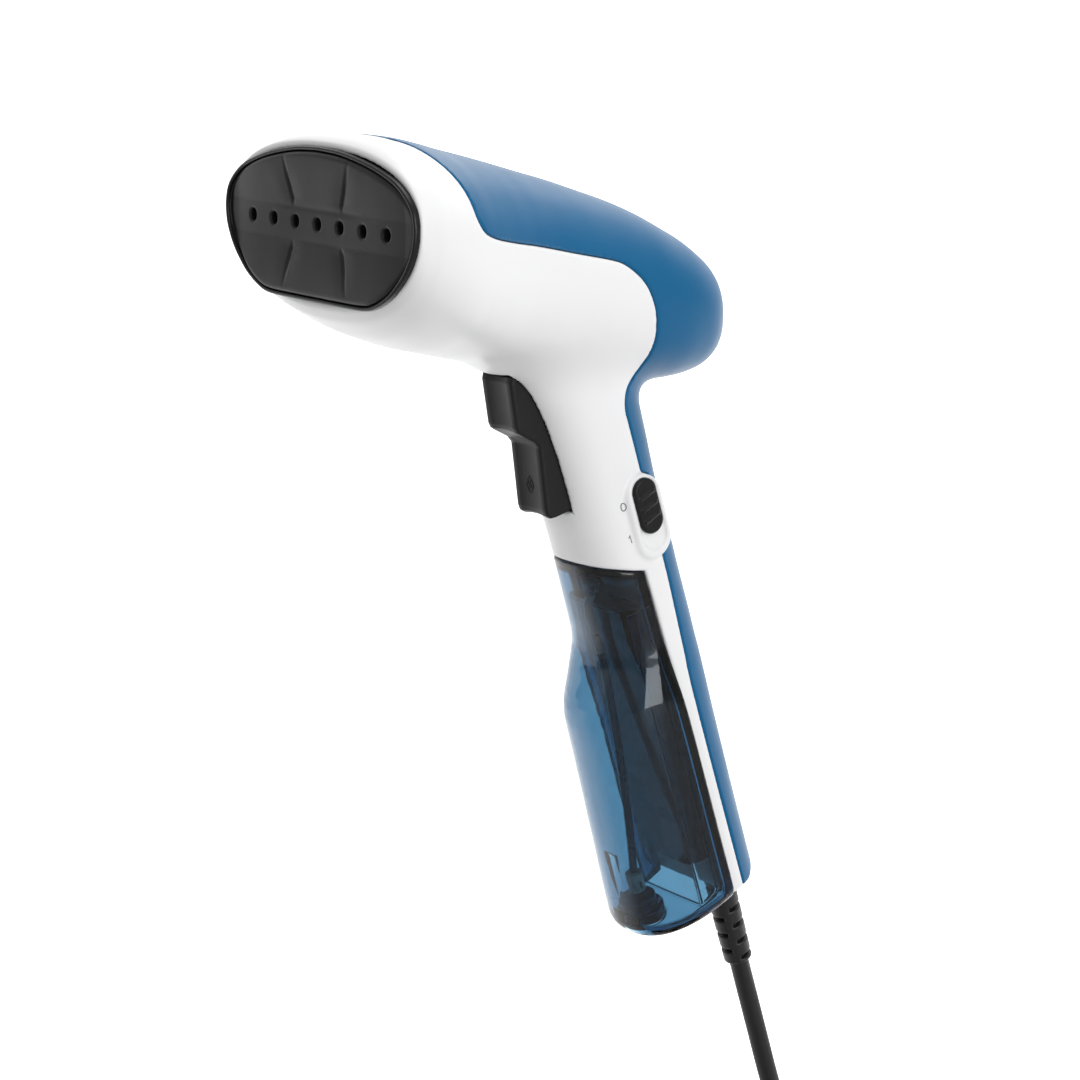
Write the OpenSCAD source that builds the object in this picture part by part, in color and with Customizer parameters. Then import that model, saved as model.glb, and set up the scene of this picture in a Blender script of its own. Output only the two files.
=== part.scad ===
// Handheld garment steamer: head with steam plate, handle, water tank, cord.
// Millimetres. +Z up, -Y is the way the steam leaves, X across. Origin: middle of the grip.

/* [Body] */
// rake of the handle, measured from upright
handle_tilt = 19.5; // [10:0.5:30]
// droop of the barrel behind the steam plate
barrel_tilt = 14; // [0:0.5:25]
// wall of the housings
wall = 2.2; // [1.6:0.1:3]
// wall of the water tank
tank_wall = 1.8; // [1.2:0.1:2.5]
// steam plate centre, forward of the grip
plate_y = -116.5; // [-140:0.5:-90]
// steam plate centre, above the grip
plate_z = 111.2; // [90:0.1:130]

/* [Steam plate] */
// distance between steam holes
hole_pitch = 12; // [10:0.5:14]
// radius of a steam hole
hole_r = 2.15; // [1.5:0.05:3]

/* [Controls] */
// width of the trigger
trigger_w = 16; // [12:0.5:20]
// height of the trigger's hinge pin on the handle
pivot_w = 71; // [65:0.5:75]
// depth of the trigger's hinge pin
pivot_u = -12; // [-14:0.5:-8]

/* [Tank] */
// half width of the core that the tank slides on
core_x = 14.5; // [10:0.5:16]
// front of the core
core_u = -10; // [-12:0.5:-6]

/* [Cord] */
// cord diameter
cord_d = 7; // [5:0.5:9]
// floor that the coil lies on
floor_z = -272; // [-300:1:-260]

/* [Hidden] */
n_ring = 40;
centre_u = -2;
gap = 0.25;
e = 0.02;

// barrel sections: back from plate, top, bottom, half width, widest height, exponent
HEAD = [
  [1.2, 24.4, -25.4, 51.8, 2, 2.3],
  [4, 25.6, -28.4, 52.0, 1.6, 2.3],
  [8, 26.3, -31.0, 52.0, 1, 2.3],
  [13, 26.4, -33.8, 51.2, 0, 2.3],
  [20, 26.0, -36.5, 49.5, -2, 2.3],
  [27, 24.7, -38.7, 47.3, -4, 2.3],
  [35, 22.8, -40.5, 44.5, -6, 2.25],
  [45, 20.6, -42.6, 41.0, -8.5, 2.25],
  [55, 18.3, -44.5, 38.0, -11, 2.2],
  [67, 15.3, -46.8, 35.2, -14.5, 2.2],
  [80, 12.1, -49.0, 33.0, -18, 2.15],
  [92, 8.7, -50.9, 31.4, -22, 2.15],
  [105, 4.8, -52.5, 30.0, -26, 2.15],
  [116, 0.6, -53.6, 28.8, -29, 2.2],
  [125, -3.6, -54.0, 27.5, -31, 2.2],
  [132, -7.0, -53.6, 25.8, -32, 2.2],
  [138, -10.8, -52.5, 23.5, -33, 2.25],
  [143, -14.4, -50.7, 20.2, -33.5, 2.3],
  [147, -18.5, -48.0, 16.0, -34, 2.3],
  [149.5, -23.0, -44.2, 10.5, -34, 2.3],
  [151, -30.5, -37.5, 3.0, -34, 2.3]];

// handle sections: height along the handle, front, back, half width at the tank, half width at the back
GRIP = [
  [-140, -33.4, 17.4, 24.6, 22.4],
  [-127, -33.2, 17.5, 24.6, 22.4],
  [-100, -32.0, 17.7, 24.3, 22.0],
  [-65, -30.4, 18.2, 24.0, 21.4],
  [-53, -30.0, 18.6, 23.6, 21.1],
  [-47.5, -28.8, 18.8, 23.1, 20.9],
  [-44, -27.0, 18.9, 22.6, 20.8],
  [-40, -24.6, 19.0, 22.0, 20.6],
  [-36, -22.3, 19.0, 21.4, 20.5],
  [-32, -20.0, 19.1, 20.9, 20.3],
  [-28, -18.3, 19.2, 20.4, 20.2],
  [-22, -17.7, 19.3, 20.1, 20.0],
  [-15, -17.7, 19.3, 19.8, 19.8],
  [-2, -17.7, 19.6, 19.2, 19.2],
  [5, -17.5, 19.7, 18.8, 18.8],
  [20, -18.0, 19.6, 18.4, 18.4],
  [40, -18.4, 20.5, 18.4, 18.4],
  [55, -19.8, 21.0, 18.5, 18.5],
  [68, -22.8, 21.2, 18.7, 18.7],
  [90, -33.0, 21.2, 19.0, 19.0]];

// half outline of the steam plate, from the middle of the top to the middle of the bottom
PLATE = [[12, 22.0], [25, 19.8], [34, 17.4], [41, 14.6], [46, 11], [49, 7.2], [50.2, 2.5],
  [49.6, -2.2], [48, -6], [45.5, -10], [42, -13.8], [37.5, -17.6], [31, -21.2], [25, -22.5]];

// seam between the white and the blue housing on the barrel, back and up from the plate centre
SEAM = [[15.6, 60], [15.6, 29], [16.6, 25.7], [17.9, 24.2], [19.3, 20.7], [20.8, 16.8], [22, 13.2], [22.9, 9.8],
  [24.2, 5], [27, 1.1], [30.9, -0.8], [35.9, -2.1], [44.4, -3.6], [54.4, -5.1], [73, -8.5], [88, -11.2], [94, -13], [100, -16.8], [104, -21.2], [106.8, -27],
  [108.2, -33], [108.9, -38], [109, -44], [108.2, -49.5], [106.4, -55], [106.1, -60.8]];
// the same seam further down, in the handle's own frame
SEAM_GRIP = [[7, 46], [7.1, 30], [7, 0], [5, -33], [3.6, -60], [3.6, -160]];

function sgn(v) = v < 0 ? -1 : 1;
function se(a, hw, hu, hd, x) = [hw * sgn(cos(a)) * pow(abs(cos(a)), 2 / x),
  (sin(a) > 0 ? hu : hd) * sgn(sin(a)) * pow(abs(sin(a)), 2 / x)];
function to_world(u, w) = [-w * sin(handle_tilt) + u * cos(handle_tilt), w * cos(handle_tilt) + u * sin(handle_tilt)];

module head() {
  translate([0, plate_y, plate_z]) children();
}
module barrel() {
  head() rotate([-barrel_tilt, 0, 0]) children();
}
module handle() {
  rotate([handle_tilt, 0, 0]) children();
}
// a profile drawn in x and z, from y0 to y1
module yext(y0, y1) {
  translate([0, y1, 0]) rotate([90, 0, 0]) linear_extrude(y1 - y0) children();
}
// a profile drawn in y and z, from x0 to x1
module xext(x0, x1) {
  translate([x0, 0, 0]) rotate([90, 0, 90]) linear_extrude(x1 - x0) children();
}
// a rod along y
module yrod(x, z, r, y0, y1) {
  translate([x, y1, z]) rotate([90, 0, 0]) cylinder(r = r, h = y1 - y0, $fn = 48);
}
module xrod(y, z, r, x0, x1) {
  translate([x0, y, z]) rotate([0, 90, 0]) cylinder(r = r, h = x1 - x0, $fn = 48);
}
module box(lo, hi) {
  translate(lo) cube(hi - lo);
}
module round_rect(x, y, r) {
  union() {
    square([2 * x - 2 * r, 2 * y], center = true);
    square([2 * x, 2 * y - 2 * r], center = true);
    for (a = [-1, 1]) {
      for (b = [-1, 1]) {
        translate([a * (x - r), b * (y - r)]) circle(r = r, $fn = 32);
      }
    }
  }
}

// skin through rings that are stacked along y
module skin_y(rings) {
  n = len(rings[0]);
  m = len(rings);
  pts = [for (r = rings) for (p = r) p];
  sides = [for (i = [0:m - 2]) for (j = [0:n - 1])
    [i * n + j, i * n + (j + 1) % n, (i + 1) * n + (j + 1) % n, (i + 1) * n + j]];
  polyhedron(pts, concat(sides, [[for (j = [0:n - 1]) n - 1 - j]], [[for (j = [0:n - 1]) (m - 1) * n + j]]));
}
// skin through rings that are stacked along z
module skin_z(rings) {
  n = len(rings[0]);
  m = len(rings);
  pts = [for (r = rings) for (p = r) p];
  sides = [for (i = [0:m - 2]) for (j = [0:n - 1])
    [i * n + j, (i + 1) * n + j, (i + 1) * n + (j + 1) % n, i * n + (j + 1) % n]];
  polyhedron(pts, concat(sides, [[for (j = [0:n - 1]) j]], [[for (j = [0:n - 1]) (m - 1) * n + n - 1 - j]]));
}

function head_ring(r, k, y) = [for (j = [0:n_ring - 1])
  let (p = se(j * 360 / n_ring, r[3] - k, r[1] - r[4] - k, r[4] - r[2] - k, r[5])) [p[0], y, r[4] + p[1]]];
module head_loft() {
  head() skin_y([for (r = HEAD) head_ring(r, 0, r[0])]);
}
// the space inside the barrel, open at the front
module head_space() {
  head() skin_y(concat(
    [[for (p = head_ring(HEAD[1], wall, 5)) p]],
    [for (i = [2:17]) head_ring(HEAD[i], wall, HEAD[i][0])],
    [head_ring(HEAD[18], 4, 146)]));
}
function grip_ring(r, k, hw) = [for (j = [0:n_ring - 1])
  let (p = se(j * 360 / n_ring, hw - k, r[2] - centre_u - k, centre_u - r[1] - k, 2.3)) [p[0], centre_u + p[1], r[0]]];
module grip_loft() {
  handle() skin_z([for (r = GRIP) grip_ring(r, 0, r[4])]);
}
module grip_space() {
  handle() skin_z([for (r = GRIP) grip_ring(r, wall, r[4])]);
}
// tank sections: the lower ones lean so that the bottom rises towards the back
function tank_ring(r, k, drop, lean) = [for (p = grip_ring(r, k, r[3])) [p[0], p[1], r[0] + drop + lean * (p[1] + 33)]];
function lean_at(w) = w > -60 ? 0 : 0.22 * (-60 - w) / 73;
function tank_rows(k) = concat(
  [tank_ring([-133, -33.4, 17.5, 24.6, 22.4], 4.4 + k, k, 0.22)],
  [tank_ring([-132.2, -33.4, 17.5, 24.6, 22.4], 2.1 + k, k, 0.22)],
  [tank_ring([-130.6, -33.3, 17.5, 24.6, 22.4], 0.8 + k, k, 0.217)],
  [tank_ring([-128.4, -33.2, 17.5, 24.6, 22.4], 0.2 + k, k, 0.21)],
  [tank_ring([-121, -33.0, 17.5, 24.5, 22.4], k, 0, 0.185)],
  [for (i = [2:len(GRIP) - 6]) tank_ring(GRIP[i], k, 0, lean_at(GRIP[i][0]))],
  [tank_ring([12, -17.6, 19.6, 18.6, 18.6], k, 0, 0)]);
module tank_loft(k) {
  handle() skin_z(tank_rows(k));
}

// side view of the room that the tank takes, grown by d
module tank_room(d) {
  handle() xext(-60, 60) polygon([[-70, 28.125 + d], [centre_u + d, -2.475 + d], [centre_u + d, -220], [-70, -220]]);
}
module seam_shape() {
  polygon(concat(
    [for (p = SEAM) [p[0] + plate_y, p[1] + plate_z]],
    [for (p = SEAM_GRIP) to_world(p[0], p[1])],
    [[-200, -160], [-200, 180]]));
}
module white_side() {
  xext(-80, 80) seam_shape();
}
module blue_side() {
  xext(-80, 80) difference() {
    translate([-190, -260]) square([500, 460]);
    offset(delta = 0.15) seam_shape();
  }
}
module plate_shape(d) {
  offset(delta = -d) polygon(concat(PLATE, [for (i = [len(PLATE) - 1:-1:0]) [-PLATE[i][0], PLATE[i][1]]]));
}
// everything that is solid plastic before the two housings are parted
module hollow_body() {
  difference() {
    union() {
      head_loft();
      grip_loft();
      knob_pad();
    }
    difference() {
      union() {
        head_space();
        grip_space();
      }
      tank_room(wall);
      handle() box([-40, -60, -220], [40, 40, -121.5]);
    }
    handle() xext(-60, 60) polygon([[-80, -126], [8, -126], [19, -121.6], [60, -121.6], [60, -220], [-80, -220]]);
    tank_room(0);
    head() yext(-5, 8) plate_shape(0.5);
    knob_cut();
    handle() xext(-trigger_w / 2 - 0.4, trigger_w / 2 + 0.4) polygon([[-60, 23.4], [-5.6, 23.4], [-5.6, 62], [-4, 76], [-60, 76]]);
    handle() translate([0, 9, -130]) cylinder(r = 5.6, h = 9, $fn = 48);
  }
}
module knob_outline(x, z) {
  translate([4.4, z]) rotate(90) union() {
    square([2 * x - 9.8, 9.8], center = true);
    translate([x - 4.9, 0]) circle(r = 4.9, $fn = 48);
    translate([4.9 - x, 0]) circle(r = 4.9, $fn = 48);
  }
}
module pad_block(x1, r) {
  xext(8, x1) translate([4.4, 14.4]) rotate(90) union() {
    square([15, 2 * r], center = true);
    translate([7.5, 0]) circle(r = r, $fn = 48);
    translate([-7.5, 0]) circle(r = r, $fn = 48);
  }
}
module knob_pad() {
  handle() pad_block(20.2, 7.1);
}
module knob_cut() {
  handle() xext(19.4, 24) knob_outline(12.9, 15.7);
  handle() box([11, 2.6, 10.6], [24, 6.6, 20.6]);
}

module front_housing() {
  color([0.94, 0.94, 0.93]) render() intersection() {
    union() {
      hollow_body();
      handle() for (s = [-1, 1]) {
        intersection() {
          box([s > 0 ? 8.6 : -14.6, -16, 65.5], [s > 0 ? 14.6 : -8.6, -7.5, 76.5]);
          box([-15, -20, 60], [15, 0, 80]);
        }
      }
      head() for (s = [-1, 1]) {
        difference() {
          box([s > 0 ? 39.5 : -48.6, 13, -4], [s > 0 ? 48.6 : -39.5, 18, 4]);
          yrod(s * 42, 0, 1.3, 10, 25);
        }
      }
      handle() for (w = [-88, -12]) {
        difference() {
          yrod(0, w, 4, -1.5, 9.4);
          yrod(0, w, 1.55, 1.5, 12);
        }
      }
      handle() difference() {
        box([-9.5, -1.5, -106], [9.5, 8.8, -98]);
        translate([0, 9, -110]) cylinder(r = cord_d / 2 + 0.05, h = 20, $fn = 48);
        for (s = [-1, 1]) {
          yrod(s * 6.6, -102, 1.32, 1, 12);
        }
      }
    }
    union() {
      white_side();
      handle() pad_block(20.4, 7.1);
    }
    difference() {
      box([-80, -200, -200], [80, 200, 200]);
      handle() translate([0, -11, -8]) cylinder(r = 2.85, h = 20, $fn = 48);
      handle() xrod(pivot_u, pivot_w, 1.53, -12.65, 12.65);
    }
  }
}

module rear_cover() {
  color([0.17, 0.41, 0.58]) render() difference() {
    intersection() {
      union() {
        hollow_body();
        handle() for (w = [-88, -12]) {
          yrod(0, w, 5.4, 9.6, 17.4);
        }
      }
      blue_side();
    }
    handle() for (w = [-88, -12]) {
      yrod(0, w, 3.7, 12, 30);
      yrod(0, w, 1.8, 5, 30);
    }
    handle() pad_block(20.4, 7.3);
  }
}

module steam_plate() {
  color([0.2, 0.2, 0.21]) head() difference() {
    union() {
      yext(-1.5, 0.45) plate_shape(0);
      yext(0.45, 3.5) plate_shape(3.2);
    }
    for (i = [-3:3]) {
      yrod(i * hole_pitch, 0, hole_r, -5, 6);
    }
    xrod(-31.1, 0, 30, -37, 37);
  }
}

module plate_rim() {
  color([0.07, 0.07, 0.07]) head() union() {
    yext(-0.9, 1.2) difference() {
      plate_shape(-1.3);
      plate_shape(-0.1);
    }
    yext(0.45, 1.2) difference() {
      plate_shape(-1.3);
      plate_shape(2.9);
    }
    yext(1.2, 5.2) difference() {
      plate_shape(0.6);
      plate_shape(2.9);
    }
  }
}

module boiler_body() {
  color([0.62, 0.63, 0.64]) head() difference() {
    union() {
      yext(3.5, 6.5) plate_shape(6.5);
      yext(6.5, 30) round_rect(35.5, 13.8, 6);
      for (s = [-1, 1]) {
        box([s > 0 ? 35 : -39.2, 13.05, -4], [s > 0 ? 39.2 : -35, 17, 4]);
      }
    }
    yext(3.4, 5.5) round_rect(40, 6, 4);
    yext(10, 31) round_rect(20, 5.8, 3);
    yrod(0, 4, 1.6, 5, 11);
    for (z = [-9.9, 9.9]) {
      xrod(20, z, 3.25, -21, 40);
    }
    translate([-21, 20, 0]) rotate([90, -90, 0]) rotate_extrude(angle = 180, $fn = 64) translate([9.9, 0]) circle(r = 3.25, $fn = 32);
    for (a = [-1, 1]) {
      for (b = [-1, 1]) {
        yrod(a * 30, b * 5.5, 1.3, 24, 31);
      }
    }
  }
}

module heating_element() {
  color([0.7, 0.7, 0.72]) head() union() {
    for (z = [-9.9, 9.9]) {
      xrod(20, z, 3.2, -21, 38.5);
      xrod(20, z, 1.3, 38.5, 40.8);
    }
    translate([-21, 20, 0]) rotate([90, -90, 0]) rotate_extrude(angle = 180, $fn = 64) translate([9.9, 0]) circle(r = 3.2, $fn = 32);
  }
}

module lid_seal() {
  color([0.75, 0.25, 0.18]) head() yext(30, 30.8) difference() {
    round_rect(25.5, 10.5, 4);
    round_rect(21, 6.8, 3);
  }
}

module boiler_lid() {
  color([0.55, 0.56, 0.58]) head() difference() {
    union() {
      yext(30.8, 33.2) round_rect(34, 12, 4);
      yrod(10, -2, 3, 33.2, 38);
    }
    yrod(10, -2, 1.4, 30, 42);
    for (a = [-1, 1]) {
      for (b = [-1, 1]) {
        yrod(a * 30, b * 5.5, 1.6, 30, 34);
      }
    }
  }
}

module lid_screws() {
  color([0.5, 0.5, 0.52]) head() for (a = [-1, 1]) {
    for (b = [-1, 1]) {
      difference() {
        union() {
          yrod(a * 30, b * 5.5, 1.28, 25, 33.2);
          yrod(a * 30, b * 5.5, 2.6, 33.2, 35.2);
        }
        box([a * 30 - 2, 34.4, b * 5.5 - 0.35], [a * 30 + 2, 36, b * 5.5 + 0.35]);
      }
    }
  }
}

module thermostat() {
  color([0.82, 0.8, 0.74]) head() union() {
    yext(33.2, 34) translate([-12, 0]) round_rect(11.5, 5, 4);
    yrod(-12, 0, 7, 34, 40);
    for (s = [-1, 1]) {
      box([-12 + s * 4 - 0.4, 40, -2.4], [-12 + s * 4 + 0.4, 45, 2.4]);
    }
  }
}

module thermal_fuse() {
  color([0.85, 0.85, 0.82]) head() union() {
    xrod(35.6, 8.8, 1.9, 2, 16);
    box([5, 33.2, 7], [13, 34.2, 10.6]);
    xrod(35.6, 8.8, 0.5, -3, 21);
  }
}

module boiler_cradle() {
  color([0.15, 0.15, 0.16]) head() difference() {
    union() {
      yext(9.4, 13) plate_shape(3.4);
      for (s = [-1, 1]) {
        box([s > 0 ? 40 : -46.5, 9.4, -5], [s > 0 ? 46.5 : -40, 13, 5]);
      }
    }
    yext(5, 20) round_rect(35.7, 14, 6);
    for (s = [-1, 1]) {
      yrod(s * 42, 0, 1.6, 5, 20);
    }
  }
}

module cradle_screws() {
  color([0.5, 0.5, 0.52]) head() for (s = [-1, 1]) {
    yrod(s * 42, 0, 1.28, 9.4, 17.5);
    yrod(s * 42, 0, 2.5, 7.4, 9.4);
  }
}

module heat_shield() {
  color([0.78, 0.74, 0.62]) head() union() {
    yext(13.2, 27) polygon([[-27, 13.8], [27, 13.8], [30.5, 15.4],
      [30.2, 16.1], [26.8, 14.6], [-26.8, 14.6], [-30.2, 16.1], [-30.5, 15.4]]);
  }
}

module pump_frame() {
  color([0.66, 0.67, 0.69]) barrel() union() {
    for (y = [54, 84]) {
      difference() {
        box([-15, y, -17], [15, y + 2, 14]);
        yrod(0, 0, 5.6, 50, 90);
      }
    }
    box([-15, 56, -17], [15, 84, -15]);
  }
}

module pump_coil() {
  color([0.12, 0.12, 0.13]) barrel() difference() {
    union() {
      yrod(0, 0, 13.5, 58, 82);
      yrod(0, 0, 14.6, 56, 58);
      yrod(0, 0, 14.6, 82, 84);
      box([-6, 60, 13], [6, 78, 16]);
    }
    yrod(0, 0, 5.55, 50, 90);
  }
}

module pump_tube() {
  color([0.85, 0.85, 0.8]) barrel() difference() {
    union() {
      yrod(0, 0, 5.5, 50, 90);
      yrod(0, 0, 2.4, 90, 98);
      yrod(0, 0, 2.4, 47.5, 50);
    }
    yrod(0, 0, 4.06, 52, 88);
    yrod(0, 0, 1.2, 40, 110);
  }
}

module pump_piston() {
  color([0.7, 0.7, 0.73]) barrel() difference() {
    yrod(0, 0, 4, 60, 80);
    yrod(0, 0, 1.3, 59, 81);
  }
}

function coil_path(n, r, pitch) = [for (i = [0:n * 14]) [r * cos(i * 360 / 14), i * pitch / 14, r * sin(i * 360 / 14)]];
function unit(v) = v / norm(v);
function side_of(d) = unit(cross(d, abs(d[0]) > 0.8 ? [0, 0, 1] : [1, 0, 0]));
function dir_at(p, i) = unit(p[min(i + 1, len(p) - 1)] - p[max(i - 1, 0)]);
function carry(p, i, s) = i >= len(p) ? [] :
  let (d = dir_at(p, i), t = unit(s - (s * d) * d)) concat([t], carry(p, i + 1, t));
// a round tube swept along a list of points
module sweep(p, r, n) {
  s = carry(p, 0, side_of(dir_at(p, 0)));
  skin_any([for (i = [0:len(p) - 1]) let (d = dir_at(p, i), b = cross(d, s[i]))
    [for (j = [0:n - 1]) p[i] + r * (cos(j * 360 / n) * s[i] + sin(j * 360 / n) * b)]]);
}
module skin_any(rings) {
  n = len(rings[0]);
  m = len(rings);
  pts = [for (r = rings) for (q = r) q];
  sides = [for (i = [0:m - 2]) for (j = [0:n - 1])
    [i * n + j, (i + 1) * n + j, (i + 1) * n + (j + 1) % n, i * n + (j + 1) % n]];
  polyhedron(pts, concat(sides, [[for (j = [0:n - 1]) j]], [[for (j = [0:n - 1]) (m - 1) * n + n - 1 - j]]));
}
function mid(a, b, c, d, t) = 0.5 * ((2 * b) + (c - a) * t + (2 * a - 5 * b + 4 * c - d) * t * t + (3 * b - a - 3 * c + d) * t * t * t);
// a smooth run of points through the given ones
function smooth(p, k) = concat([for (i = [0:len(p) - 2]) for (j = [0:k - 1])
  mid(p[max(i - 1, 0)], p[i], p[i + 1], p[min(i + 2, len(p) - 1)], j / k)], [p[len(p) - 1]]);
function grip_pt(x, u, w) = let (q = to_world(u, w)) [x, q[0], q[1]];
function barrel_pt(x, y, z) = [x, plate_y + y * cos(barrel_tilt) + z * sin(barrel_tilt),
  plate_z - y * sin(barrel_tilt) + z * cos(barrel_tilt)];
function head_pt(x, y, z) = [x, plate_y + y, plate_z + z];

module pump_spring() {
  color([0.75, 0.75, 0.78]) barrel() translate([0, 52.4, 0]) sweep(coil_path(4, 3.3, 1.72), 0.35, 6);
}

module check_valve() {
  color([0.8, 0.8, 0.78]) barrel() difference() {
    union() {
      yrod(0, 0, 4.4, 41.5, 47.5);
      yrod(0, 0, 2.4, 39.8, 41.5);
    }
    yrod(0, 0, 1.2, 30, 50);
  }
}

module outlet_hose() {
  color([0.85, 0.86, 0.84]) sweep(smooth([head_pt(10, 38.1, -2), head_pt(10, 40.3, -2), barrel_pt(9.3, 42, 9),
    barrel_pt(6, 43, 9.6), barrel_pt(2.4, 41.2, 8.6), barrel_pt(0.4, 38.4, 6.2), barrel_pt(0, 36.6, 3.2),
    barrel_pt(0, 37.3, 0.5), barrel_pt(0, 39.7, 0)], 3), 1.3, 8);
}

module inlet_hose() {
  color([0.85, 0.86, 0.84]) sweep(smooth([grip_pt(0, -11, 12.3), grip_pt(0, -11, 13.6), grip_pt(-1, -9.6, 16),
    grip_pt(-3.8, -5, 18.8), grip_pt(-7.8, 0.5, 23.6), grip_pt(-10, 3, 34), grip_pt(-10.4, 4, 50), grip_pt(-10, 5, 64),
    grip_pt(-9, 4, 84), barrel_pt(-7.6, 104, -4.4), barrel_pt(-3.6, 107.6, -1.4), barrel_pt(-0.4, 105, -0.1),
    barrel_pt(0, 98.2, 0)], 4), 2.6, 8);
}

module inner_chassis() {
  color([0.16, 0.16, 0.17]) handle() difference() {
    union() {
      box([-11, 10.2, -4], [11, 12, 62]);
      box([-11, 10.2, -4], [-9.4, 13.6, 62]);
      box([9.4, 10.2, -4], [11, 13.6, 62]);
    }
    yrod(0, -12, 6, 5, 20);
  }
}

module micro_switch() {
  color([0.1, 0.1, 0.1]) handle() difference() {
    union() {
      box([-3.2, 0, 30], [3.2, 10.2, 50]);
      box([-0.4, 3, 26], [0.4, 7, 30]);
    }
    yrod(0, 45, 1.3, -1, 4.2);
    xrod(7, 34, 1.2, -5, 5);
    xrod(3, 46.4, 1.2, -5, 5);
  }
}

module micro_plunger() {
  color([0.75, 0.2, 0.15]) handle() yrod(0, 45, 1.2, -2.35, 1.8);
}

TRIG = [[-23.5, 75.2], [-25.6, 74.6], [-26.6, 72.8], [-28.7, 58.2], [-28.4, 56.4], [-27, 54.8], [-23.2, 51],
  [-22.2, 48.6], [-25.9, 28], [-25.8, 26], [-24.6, 24.8], [-22.8, 24.5], [-17.4, 25.4], [-9.4, 26.2], [-9.2, 42],
  [-2.55, 42.6], [-2.55, 47.4], [-9.2, 48], [-9.2, 64], [-7.4, 67], [-7.4, 74], [-9.8, 75.8], [-18, 75.6]];
module trigger() {
  color([0.12, 0.12, 0.12]) handle() difference() {
    union() {
      intersection() {
        xext(-trigger_w / 2, trigger_w / 2) polygon(TRIG);
        union() {
          box([-6.4, -40, 20], [6.4, 0, 80]);
          box([-9, -24.6, 20], [9, -9, 80]);
          for (s = [-1, 1]) {
            translate([s * 6.4, 0, 0]) xext(-1.6, 1.6) polygon([for (p = TRIG) p + [1, 0]]);
          }
        }
      }
    }
    box([-9, -9.1, 20], [-2.6, 0, 64]);
    box([2.6, -9.1, 20], [9, 0, 64]);
    xrod(pivot_u, pivot_w, 1.57, -20, 20);
    box([-6.2, -20, 27.5], [6.2, -8.5, 41]);
    box([-6.2, -20, 49.5], [6.2, -8.5, 64]);
  }
}

module trigger_pin() {
  color([0.7, 0.7, 0.72]) handle() xrod(pivot_u, pivot_w, 1.5, -12.6, 12.6);
}

module trigger_spring() {
  color([0.75, 0.75, 0.78]) handle() translate([0, -17.4, 34]) rotate([0, 0, 0]) sweep(coil_path(6, 3.4, 2.25), 0.4, 6);
}

module power_knob() {
  color([0.1, 0.1, 0.1]) handle() difference() {
    union() {
      xext(19.45, 21.2) translate([4.4, 18.4]) rotate(90) union() {
        square([10.2, 9.2], center = true);
        translate([5.1, 0]) circle(r = 4.6, $fn = 48);
        translate([-5.1, 0]) circle(r = 4.6, $fn = 48);
      }
      for (w = [14.4, 18.4, 22.4]) {
        translate([21.2, 4.4, w]) rotate([90, 0, 0]) translate([0, 0, -3.4]) cylinder(r = 0.6, h = 6.8, $fn = 24);
      }
      box([14, 3.2, 16.9], [19.5, 6, 19.9]);
    }
  }
}

module knob_lever() {
  color([0.75, 0.75, 0.72]) handle() difference() {
    box([9.05, 2.8, 16], [14, 6.4, 20.4]);
    box([13, 2, 21], [15, 7, 22]);
  }
}

module switch_body() {
  color([0.1, 0.1, 0.11]) handle() difference() {
    union() {
      box([3.6, 0.4, 4], [9, 10.2, 28]);
      box([5, 3, 1], [5.8, 7, 4]);
      box([5, 3, 28], [5.8, 7, 31]);
    }
    box([6, 2.2, 9.6], [9.5, 7, 21.4]);
  }
}

module terminal_block() {
  color([0.9, 0.89, 0.85]) barrel() difference() {
    box([-11, 112, -19], [11, 124, -8]);
    for (x = [-7, 0, 7]) {
      translate([x, 118, -13]) cylinder(r = 2, h = 8, $fn = 32);
      translate([x, 118, -20]) cylinder(r = 1.5, h = 8, $fn = 32);
    }
  }
}

module wire_brown() {
  color([0.35, 0.2, 0.12]) sweep(smooth([grip_pt(-2, 9, -97.6), grip_pt(-6, 6, -90), grip_pt(-9, 5, -60), grip_pt(-9, 5, -20),
    grip_pt(-8, 13.8, -8), grip_pt(-7.4, 14, 30), grip_pt(-7, 14.1, 53), barrel_pt(-7, 118, -22),
    barrel_pt(-7, 118, -19.5), barrel_pt(-7, 118, -17)], 4), 1.1, 6);
}
module wire_blue() {
  color([0.15, 0.3, 0.65]) sweep(smooth([grip_pt(2, 9, -97.6), grip_pt(6, 6, -90), grip_pt(9, 5, -60), grip_pt(9, 5, -20),
    grip_pt(8, 13.8, -8), grip_pt(7.4, 14, 30), grip_pt(7, 14.1, 53), barrel_pt(7, 118, -22),
    barrel_pt(7, 118, -19.5), barrel_pt(7, 118, -17)], 4), 1.1, 6);
}

module cover_screws() {
  color([0.5, 0.5, 0.52]) handle() for (w = [-88, -12]) {
    difference() {
      union() {
        yrod(0, w, 1.5, 2, 12);
        yrod(0, w, 3.2, 12, 14.2);
      }
      box([-0.4, 13.2, w - 2.4], [0.4, 15, w + 2.4]);
      box([-2.4, 13.2, w - 0.4], [2.4, 15, w + 0.4]);
    }
  }
}

module tank_core() {
  color([0.06, 0.08, 0.1]) handle() difference() {
    union() {
      translate([0, 0, -112]) linear_extrude(96) intersection() {
        translate([0, -2]) round_rect(core_x, -core_u - 2, 3);
        translate([-20, core_u]) square([40, -core_u + centre_u - gap]);
      }
      box([-core_x - 0.4, -4.4, -112], [core_x + 0.4, centre_u - gap, -16]);
    }
    box([-core_x + 2, core_u + 2, -110], [core_x - 2, 0, -18]);
  }
}

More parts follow.
